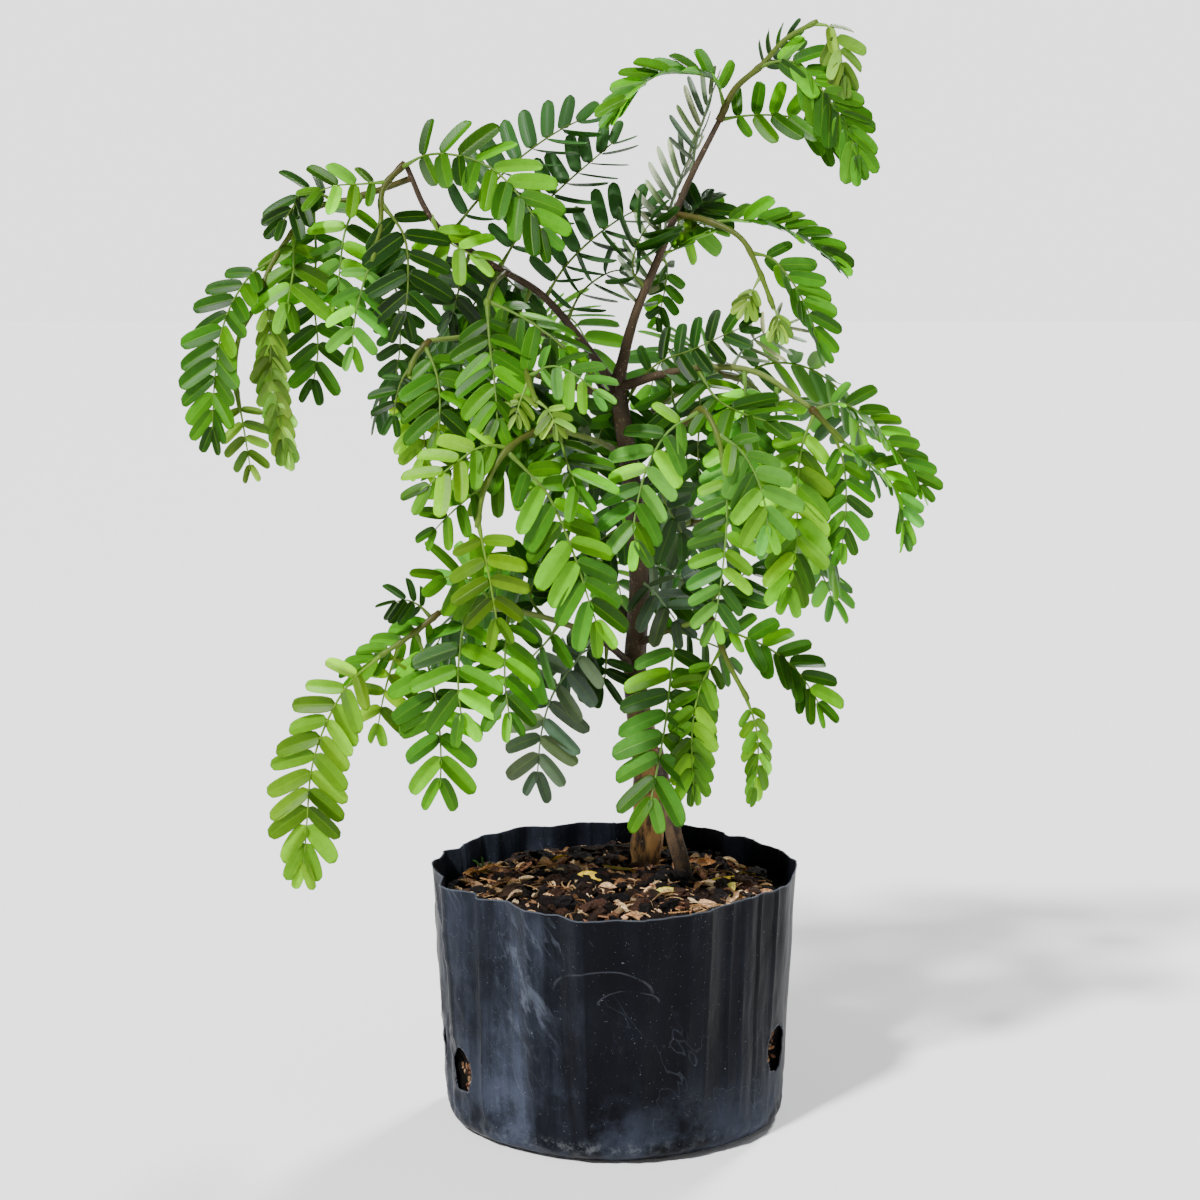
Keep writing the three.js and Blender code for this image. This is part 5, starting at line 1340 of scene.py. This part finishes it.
def add_fibres(pile, count, seed, low, high):
    """Thin bent shreds of bark and root."""
    places, draw = litter_places(count, seed, 0.93)
    steps = np.linspace(-0.5, 0.5, 7)
    for x, y in places:
        length = low + (high - low) * draw()
        bend = length * jitter(draw, 0.5)
        line = np.column_stack([steps * length, bend * (1 - 4 * steps ** 2), 1.4 * np.cos(3 * steps)])
        line = turned(line, 0, jitter(draw, 0.6), FULL_TURN * draw())
        lift = 2 + 1.6 * draw()
        corners, faces = tube(line, np.linspace(0.42, 0.2, len(steps)) * (0.6 + 0.9 * draw()), 4)
        lay(pile, x, y, lift, corners, faces, shade(draw, SHRED_COLOURS, 0.6, 0.8))


SPROUT_PLACE = (-74, 38)


def add_sprout(pile):
    """A tiny green sprout at the left edge of the mix."""
    for reach, rise in ((-6, 7), (5, 6), (-1, 9)):
        line = np.outer([0, 0.35, 0.7, 1], [reach, 0, 0]) + np.outer([0, 0.5, 0.85, 1], [0, -3, rise])
        corners, faces = tube(line, [0.4, 0.6, 0.6, 0.3], 6)
        lay(pile, *SPROUT_PLACE, 3, corners, faces, linear("#4c8036"))


# Where the largest yellow leaves have fallen, in front of the trunk and towards the edges.
FALLEN_LEAVES = [(-12, -6), (1, 8), (-44, 58), (-70, 30), (48, 40)]


def add_litter(pile):
    """Everything that lies on the mix, from its shortest to its longest, in mm."""
    add_lumps(pile, count=430, seed=51, low=8, high=21)
    add_flakes(pile, count=290, seed=52, low=4, high=16)
    add_shells(pile, HUSK_COLOURS, count=230, seed=53, low=5, high=13, curl=0.9)
    add_shells(pile, DRY_LEAF_COLOURS, count=12, seed=56, low=14, high=20, curl=0.3, fixed=FALLEN_LEAVES)
    add_fibres(pile, count=190, seed=54, low=7, high=22)
    add_sprout(pile)


def add_hole_grains(pile):
    """Grains of the mix that show in each drain hole."""
    draw = seeded_draw(HOLE_GRAIN_SEED)
    sphere, faces = lump_shape()
    for centre, middle, wide, tall in DRAIN_HOLES:
        for i in range(GRAINS_A_HOLE):
            turn, spread = 2 * math.pi * draw(), math.sqrt(draw()) * DRAIN_HOLE_RADIUS * 0.9
            height = middle - 2 + spread * tall * math.sin(turn)
            across = spread * wide * math.cos(turn) + math.copysign(4, centre)
            angle = math.radians(centre) + across / BAG_FOOT_RADIUS
            spot = [*bag_place(inner_radius(angle, height) - 4.2, angle), height]
            size = (1.2 + 2.2 * draw()) * np.array([1, 0.4 + 0.3 * draw(), 0.3 + 0.3 * draw()])
            corners = turned(sphere * size, FULL_TURN * draw(), FULL_TURN * draw(), FULL_TURN * draw())
            tint = shade(draw, CHIP_COLOURS if i % 5 else HUSK_COLOURS, 0.25, 0.6)
            pile.add(corners + spot, faces, tint=tint)


# Materials

class Paint:
    """Builds one material's nodes."""

    def __init__(self, name):
        self.material = bpy.data.materials.new(name)
        self.material.use_nodes = True
        self.tree = self.material.node_tree
        self.tree.nodes.clear()

    def node(self, kind, **settings):
        made = self.tree.nodes.new("ShaderNode" + kind)
        for key, value in settings.items():
            setattr(made, key, value)
        return made

    def put(self, target, value):
        if isinstance(value, bpy.types.NodeSocket):
            self.tree.links.new(value, target)
        else:
            target.default_value = value

    def fed(self, made, values):
        """A node given its inputs by name or number."""
        for name, value in values.items():
            self.put(made.inputs[name], value)
        return made

    def read(self, name, kind="Fac"):
        return self.node("Attribute", attribute_name=name).outputs[kind]

    def reckon(self, operation, *values, clamp=False):
        return self.fed(self.node("Math", operation=operation, use_clamp=clamp),
                        dict(enumerate(values))).outputs[0]

    def times(self, first, *others):
        for other in others:
            first = self.reckon("MULTIPLY", first, other)
        return first

    def plus(self, first, second, clamp=False):
        return self.reckon("ADD", first, second, clamp=clamp)

    def minus(self, first, second):
        return self.reckon("SUBTRACT", first, second)

    def gap(self, value, middle):
        return self.reckon("ABSOLUTE", self.minus(value, middle))

    def steps(self, value, low, high, start=0.0, end=1.0):
        made = self.node("MapRange", interpolation_type="SMOOTHSTEP")
        return self.fed(made, dict(enumerate((value, low, high, start, end)))).outputs[0]

    def near(self, value, middle, inner, outer, least=0.0):
        """1 within the inner gap of a middle value, falling to the least at the outer gap."""
        return self.steps(self.gap(value, middle), inner, outer, 1.0, least)

    def mix(self, share, first, second, blend="MIX"):
        made = self.node("Mix", data_type="RGBA", blend_type=blend)
        return self.fed(made, {0: share, 6: first, 7: second}).outputs[2]

    def layers(self, colour, *coats):
        """Coats laid over a colour, each with where it shows, how strongly, and its own colour."""
        for place, strength, coat in coats:
            colour = self.mix(self.times(place, strength), colour, coat)
        return colour

    def place(self):
        return self.node("TexCoord").outputs["Object"]

    def stretch(self, scale, turn=(0, 0, 0), kind="POINT"):
        made = self.node("Mapping", vector_type=kind)
        return self.fed(made, {"Vector": self.place(), "Rotation": turn, "Scale": scale}).outputs[0]

    def noise(self, scale, detail=4.0, where=None, roughness=0.55):
        values = {"Vector": where or self.place(), "Scale": scale, "Detail": detail, "Roughness": roughness}
        return self.fed(self.node("TexNoise"), values).outputs["Fac"]

    def surface(self, colour, roughness, gloss, relief, strength, distance):
        """A plain surface with a relief."""
        bump = self.fed(self.node("Bump"), {"Strength": strength, "Distance": distance, "Height": relief})
        values = {"Base Color": colour, "Roughness": roughness, "Specular IOR Level": gloss,
                  "Normal": bump.outputs[0]}
        return self.fed(self.node("BsdfPrincipled"), values).outputs[0]

    def finish(self, surface):
        self.fed(self.node("OutputMaterial"), {0: surface})
        return self.material


def rgba(code, light=1.0):
    return (*(linear(code) * light), 1.0)


def leaf_material():
    """Leaf blades: a paler midrib and side veins, a greyer underside and light let through."""
    paint = Paint("leaf_blade")
    across = paint.gap(paint.read("across"), 0.0)
    rib = paint.near(across, 0.0, 0.02, 0.1)
    bent = paint.minus(paint.read("along"), paint.times(across, 0.22))
    veins = paint.steps(paint.reckon("SINE", paint.times(bent, 62.0)), 0.5, 1.0)
    mottle = paint.steps(paint.noise(260.0, 3.0), 0.25, 0.75, 0.8, 1.0)
    tint = paint.read("tint", "Color")
    pale = paint.mix(0.4, tint, rgba("#84b81c"))
    colour = paint.mix(1.0, tint, paint.mix(mottle, (0, 0, 0, 1), (1, 1, 1, 1)), "MULTIPLY")
    colour = paint.layers(colour, (rib, 0.55, pale), (veins, 0.08, pale),
                          (paint.steps(across, 0.82, 1.0), 0.4, pale),
                          (paint.minus(1.0, paint.read("top")), 1.0, paint.mix(0.35, tint, rgba("#557f4c"))))
    relief = paint.plus(paint.times(rib, -0.8), paint.times(veins, -0.25))
    glow = paint.fed(paint.node("BsdfTranslucent"), {"Color": paint.mix(0.45, colour, rgba("#7cc800"))})
    surface = paint.surface(colour, 0.38, 0.17, relief, 0.35, 0.0004)
    both = paint.fed(paint.node("MixShader"), {0: 0.36, 1: surface, 2: glow.outputs[0]})
    return paint.finish(both.outputs[0])


def bark_material(name, young, mature, crack):
    """Bark: streaks along the stem, dark cracks where it is old, fine pale specks."""
    paint = Paint(name)
    streak = paint.noise(130.0, 6.0, paint.stretch((1.0, 1.0, 0.2)), 0.65)
    patch = paint.noise(45.0)
    base = paint.mix(paint.steps(patch, 0.35, 0.65), rgba(young), rgba(young, 1.6))
    aged = paint.mix(paint.steps(streak, 0.42, 0.6), rgba(crack), rgba(mature))
    aged = paint.layers(aged, (paint.steps(patch, 0.5, 0.72), 0.6, rgba(mature, 2.2)))
    colour = paint.layers(base, (paint.read("green"), 1.0, rgba("#5c7426")), (paint.read("old"), 1.0, aged),
                          (paint.steps(paint.noise(700.0, 2.0), 0.64, 0.7), 0.5, rgba("#8a7458")))
    rough = paint.steps(streak, 0.3, 0.7, 0.6, 0.9)
    return paint.finish(paint.surface(colour, rough, 0.35, streak, 0.8, 0.0012))


def film_lines(paint, scale, where, width, seen_scale):
    """Thin winding lines where a noise passes through its middle value, seen only in patches."""
    line = paint.near(paint.noise(scale, 2.5, where, 0.5), 0.5, width * 0.3, width)
    return paint.times(line, paint.steps(paint.noise(seen_scale, 2.0), 0.5, 0.68))


def arc_mark(paint, around, height, place, size, width):
    """A thin curved scratch: the upper part of an oval on the wall, in mm."""
    across = paint.reckon("DIVIDE", paint.minus(around, place[0]), size[0])
    upright = paint.reckon("DIVIDE", paint.minus(height, place[1]), size[1])
    reach = paint.reckon("SQRT", paint.plus(paint.times(across, across), paint.times(upright, upright)))
    return paint.times(paint.near(reach, 1.0, width * 0.2, width), paint.steps(upright, -0.1, 0.25))


def film_material():
    """Black polythene: panels of differing dustiness with a painted sheen, scratches, specks and scuffs over
    a satin surface, and painted highlights along the rim's edge and round the drain holes.
    """
    paint = Paint("black_polythene")
    height = paint.read("height")
    around = paint.read("around")
    cloud = paint.noise(21.0, 7.0, None, 0.7)
    left = paint.steps(around, -75.0, 0.0, 1.0, 0.28)

    # Partly dust and partly painted sheen: paler, bluer upright streaks and panels, strongest at the left.
    upright = paint.noise(46.0, 5.0, paint.stretch((1.0, 1.0, 0.1)), 0.62)
    panel = paint.steps(paint.read("panel"), 0.15, 0.9, 0.35, 1.25)
    dust_and_sheen = paint.times(paint.steps(upright, 0.34, 0.7, 0.12), paint.steps(cloud, 0.36, 0.66, 0.3),
                       left, panel)
    low_dust = paint.times(paint.steps(height, 0.02, 0.4, 0.55, 0.0), paint.steps(cloud, 0.42, 0.6))
    dust_and_sheen = paint.plus(dust_and_sheen, low_dust, clamp=True)

    slanted = paint.stretch((1.0, 1.0, 4.5), (0, -0.6, 0), "TEXTURE")
    sweep = paint.times(paint.steps(paint.noise(95.0, 5.0, slanted, 0.7), 0.5, 0.66),
                        paint.near(around, -54.0, 6.0, 30.0), paint.steps(height, 0.35, 0.6),
                        paint.steps(height, 0.9, 1.0, 1.0, 0.3))
    scratches = film_lines(paint, 60.0, slanted, 0.009, 16.0)
    wrinkles = film_lines(paint, 150.0, paint.stretch((0.8, 0.8, 0.55)), 0.011, 23.0)
    marks = paint.reckon("MAXIMUM", paint.times(scratches, 0.4), paint.times(wrinkles, 0.12))
    level = paint.times(height, BAG_HEIGHT)
    arcs = paint.reckon("MAXIMUM", arc_mark(paint, around, level, (-8, 97), (28, 13), 0.05),
                        arc_mark(paint, around, level, (7, 92), (17, 7), 0.06))
    arcs = paint.times(arcs, paint.steps(paint.noise(70.0), 0.36, 0.56))
    seam = paint.times(paint.near(height, 0.07, 0.0, 0.045), paint.near(around, -25.0, 10.0, 80.0, 0.25),
                       paint.steps(paint.noise(170.0, 6.0, None, 0.75), 0.48, 0.62))
    specks = paint.steps(paint.noise(1100.0, 1.0), 0.745, 0.775)
    # Painted highlight: a pale line along the very edge of the rim.
    lip_highlight = paint.steps(height, 0.9955, 0.9995)
    # Painted highlight: a pale band round the torn edges of the drain holes.
    torn = paint.steps(paint.read("torn"), 1.0, 1.09, 1.0, 0.0)
    colour = paint.layers(rgba("#05060a"), (dust_and_sheen, 0.8, rgba("#3b414f")), (sweep, 0.45, rgba("#565c69")),
                          (marks, left, rgba("#5a606c")), (arcs, 0.14, rgba("#6a6f79")),
                          (seam, 0.32, rgba("#727577")), (specks, 0.45, rgba("#7c8087")),
                          (lip_highlight, 0.4, rgba("#666b75")), (torn, 0.6, rgba("#4a4d54")))

    rough = paint.steps(paint.plus(dust_and_sheen, paint.times(cloud, 0.4)), 0.0, 1.2, 0.32, 0.6)
    crease = paint.noise(75.0, 5.0, paint.stretch((1.0, 1.0, 0.22)), 0.6)
    crease = paint.plus(paint.plus(crease, paint.times(marks, 0.5)), paint.times(sweep, 0.5))
    return paint.finish(paint.surface(colour, rough, 0.045, crease, 0.5, 0.0016))


def mix_material():
    """Bark lumps and chips in the colours each one carries, grained along their faces."""
    paint = Paint("bark_mix")
    grain = paint.noise(800.0, 5.0, None, 0.7)
    cells = paint.fed(paint.node("TexVoronoi", feature="DISTANCE_TO_EDGE"),
                      {"Scale": 520.0, "Vector": paint.place()})
    pits = paint.steps(cells.outputs["Distance"], 0.0, 0.16)
    tint = paint.read("tint", "Color")
    colour = paint.mix(paint.steps(grain, 0.3, 0.62), paint.mix(0.3, tint, rgba("#0c0807")), tint)
    colour = paint.layers(colour, (paint.minus(1.0, pits), 0.28, rgba("#0a0706")))
    relief = paint.plus(grain, paint.times(pits, 0.6))
    return paint.finish(paint.surface(colour, 0.8, 0.12, relief, 0.8, 0.0012))


def floor_material():
    paint = Paint("pale_floor")
    shade = paint.steps(paint.noise(3.0, 2.0), 0.2, 0.8, 0.985, 1.0)
    values = {"Base Color": paint.mix(shade, rgba("#f0f0f0"), rgba("#f8f8f8")), "Roughness": 0.75,
              "Specular IOR Level": 0.2}
    return paint.finish(paint.fed(paint.node("BsdfPrincipled"), values).outputs[0])


# Stage

FLOOR_REACH = 9000
SENSOR_WIDTH = 36


def show(name, data, place, turn):
    """Puts a light or the camera into the scene."""
    made = bpy.data.objects.new(name, data)
    made.location = place
    made.rotation_euler = turn
    bpy.context.scene.collection.objects.link(made)
    return made


def floor_piece():
    pile = Pile()
    corners = [(x * FLOOR_REACH, y * FLOOR_REACH, 0) for x, y in ((-1, -1), (1, -1), (1, 1), (-1, 1))]
    pile.add(corners, [(0, 1, 2, 3)])
    pile.build("floor", floor_material(), None)


# Name, tilt from upright, turn about the upright, width and power of each far light.
LAMPS = [("sun", 42, -38, 6, 6.6), ("sky", 8, 60, 60, 0.5), ("back", -48, -30, 9, 3.4)]
FILL_PLACE = Vector((1.7, -1.5, 1.0))
FILL_TARGET = Vector((0, 0, 0.3))
FILL_WIDTH = 1.6
FILL_POWER = 2.6


def lights():
    """A main light from the upper left, one from behind that glows through leaves, and a soft fill."""
    for name, tilt, turn, width, power in LAMPS:
        data = bpy.data.lights.new(name, "SUN")
        data.angle = math.radians(width)
        data.energy = power
        show(name, data, (0, 0, 0), (math.radians(tilt), 0, math.radians(turn)))
    data = bpy.data.lights.new("fill", "AREA")
    data.shape = "DISK"
    data.size = FILL_WIDTH
    data.energy = FILL_POWER
    show("fill", data, FILL_PLACE, (FILL_TARGET - FILL_PLACE).to_track_quat("-Z", "Y").to_euler())


# Heights of the surround, as shares, between which its light falls from the first strength to the second.
SURROUND_HEIGHTS = (0.085, 0.22)
SURROUND_STRENGTHS = (2.25, 0.12)


def surround():
    """A white surround, brightest near the level of the eye and below."""
    world = bpy.data.worlds.new("studio")
    world.use_nodes = True
    nodes, links = world.node_tree.nodes, world.node_tree.links
    place = nodes.new("ShaderNodeTexCoord")
    split = nodes.new("ShaderNodeSeparateXYZ")
    band = nodes.new("ShaderNodeMapRange")
    band.interpolation_type = "SMOOTHSTEP"
    for socket, value in zip(band.inputs[1:5], SURROUND_HEIGHTS + SURROUND_STRENGTHS):
        socket.default_value = value
    links.new(place.outputs["Generated"], split.inputs[0])
    links.new(split.outputs[2], band.inputs[0])
    links.new(band.outputs[0], nodes["Background"].inputs["Strength"])
    nodes["Background"].inputs["Color"].default_value = (1, 1, 1, 1)
    bpy.context.scene.world = world


def camera():
    """The front view that the plant's lines are read from."""
    data = bpy.data.cameras.new("camera")
    data.sensor_width = SENSOR_WIDTH
    data.lens = SENSOR_WIDTH * VIEW_SHARPNESS / VIEW_SIZE
    place = (EYE_SIDE * MM, -EYE_DISTANCE * MM, EYE_HEIGHT * MM)
    bpy.context.scene.camera = show("camera", data, place, (math.pi / 2 - VIEW_TILT, 0, 0))


def dress():
    """Every piece of the plant, the bag and the mix, in place of its solid. The inner leaves have none."""
    slots = {part["node"]: part["material_slot"] for part in frame["record"]["subparts"]}
    blades = leaf_material()
    plans = plan_sprays()
    for order, plan in enumerate(plans):
        leaf_piece(plan, blades, slots, order)
    inner_piece(plans, blades, slots["back_dark_leaf_1"])
    wood_piece(bark_material("bark", "#2e2212", "#a67c48", "#21150c"))
    second_stem_piece(bark_material("grey_bark", "#4a3c2e", "#5f4a36", "#2a2018"))
    bag_piece(film_material())
    soil_piece(mix_material())


lights()
surround()
camera()
floor_piece()
dress()
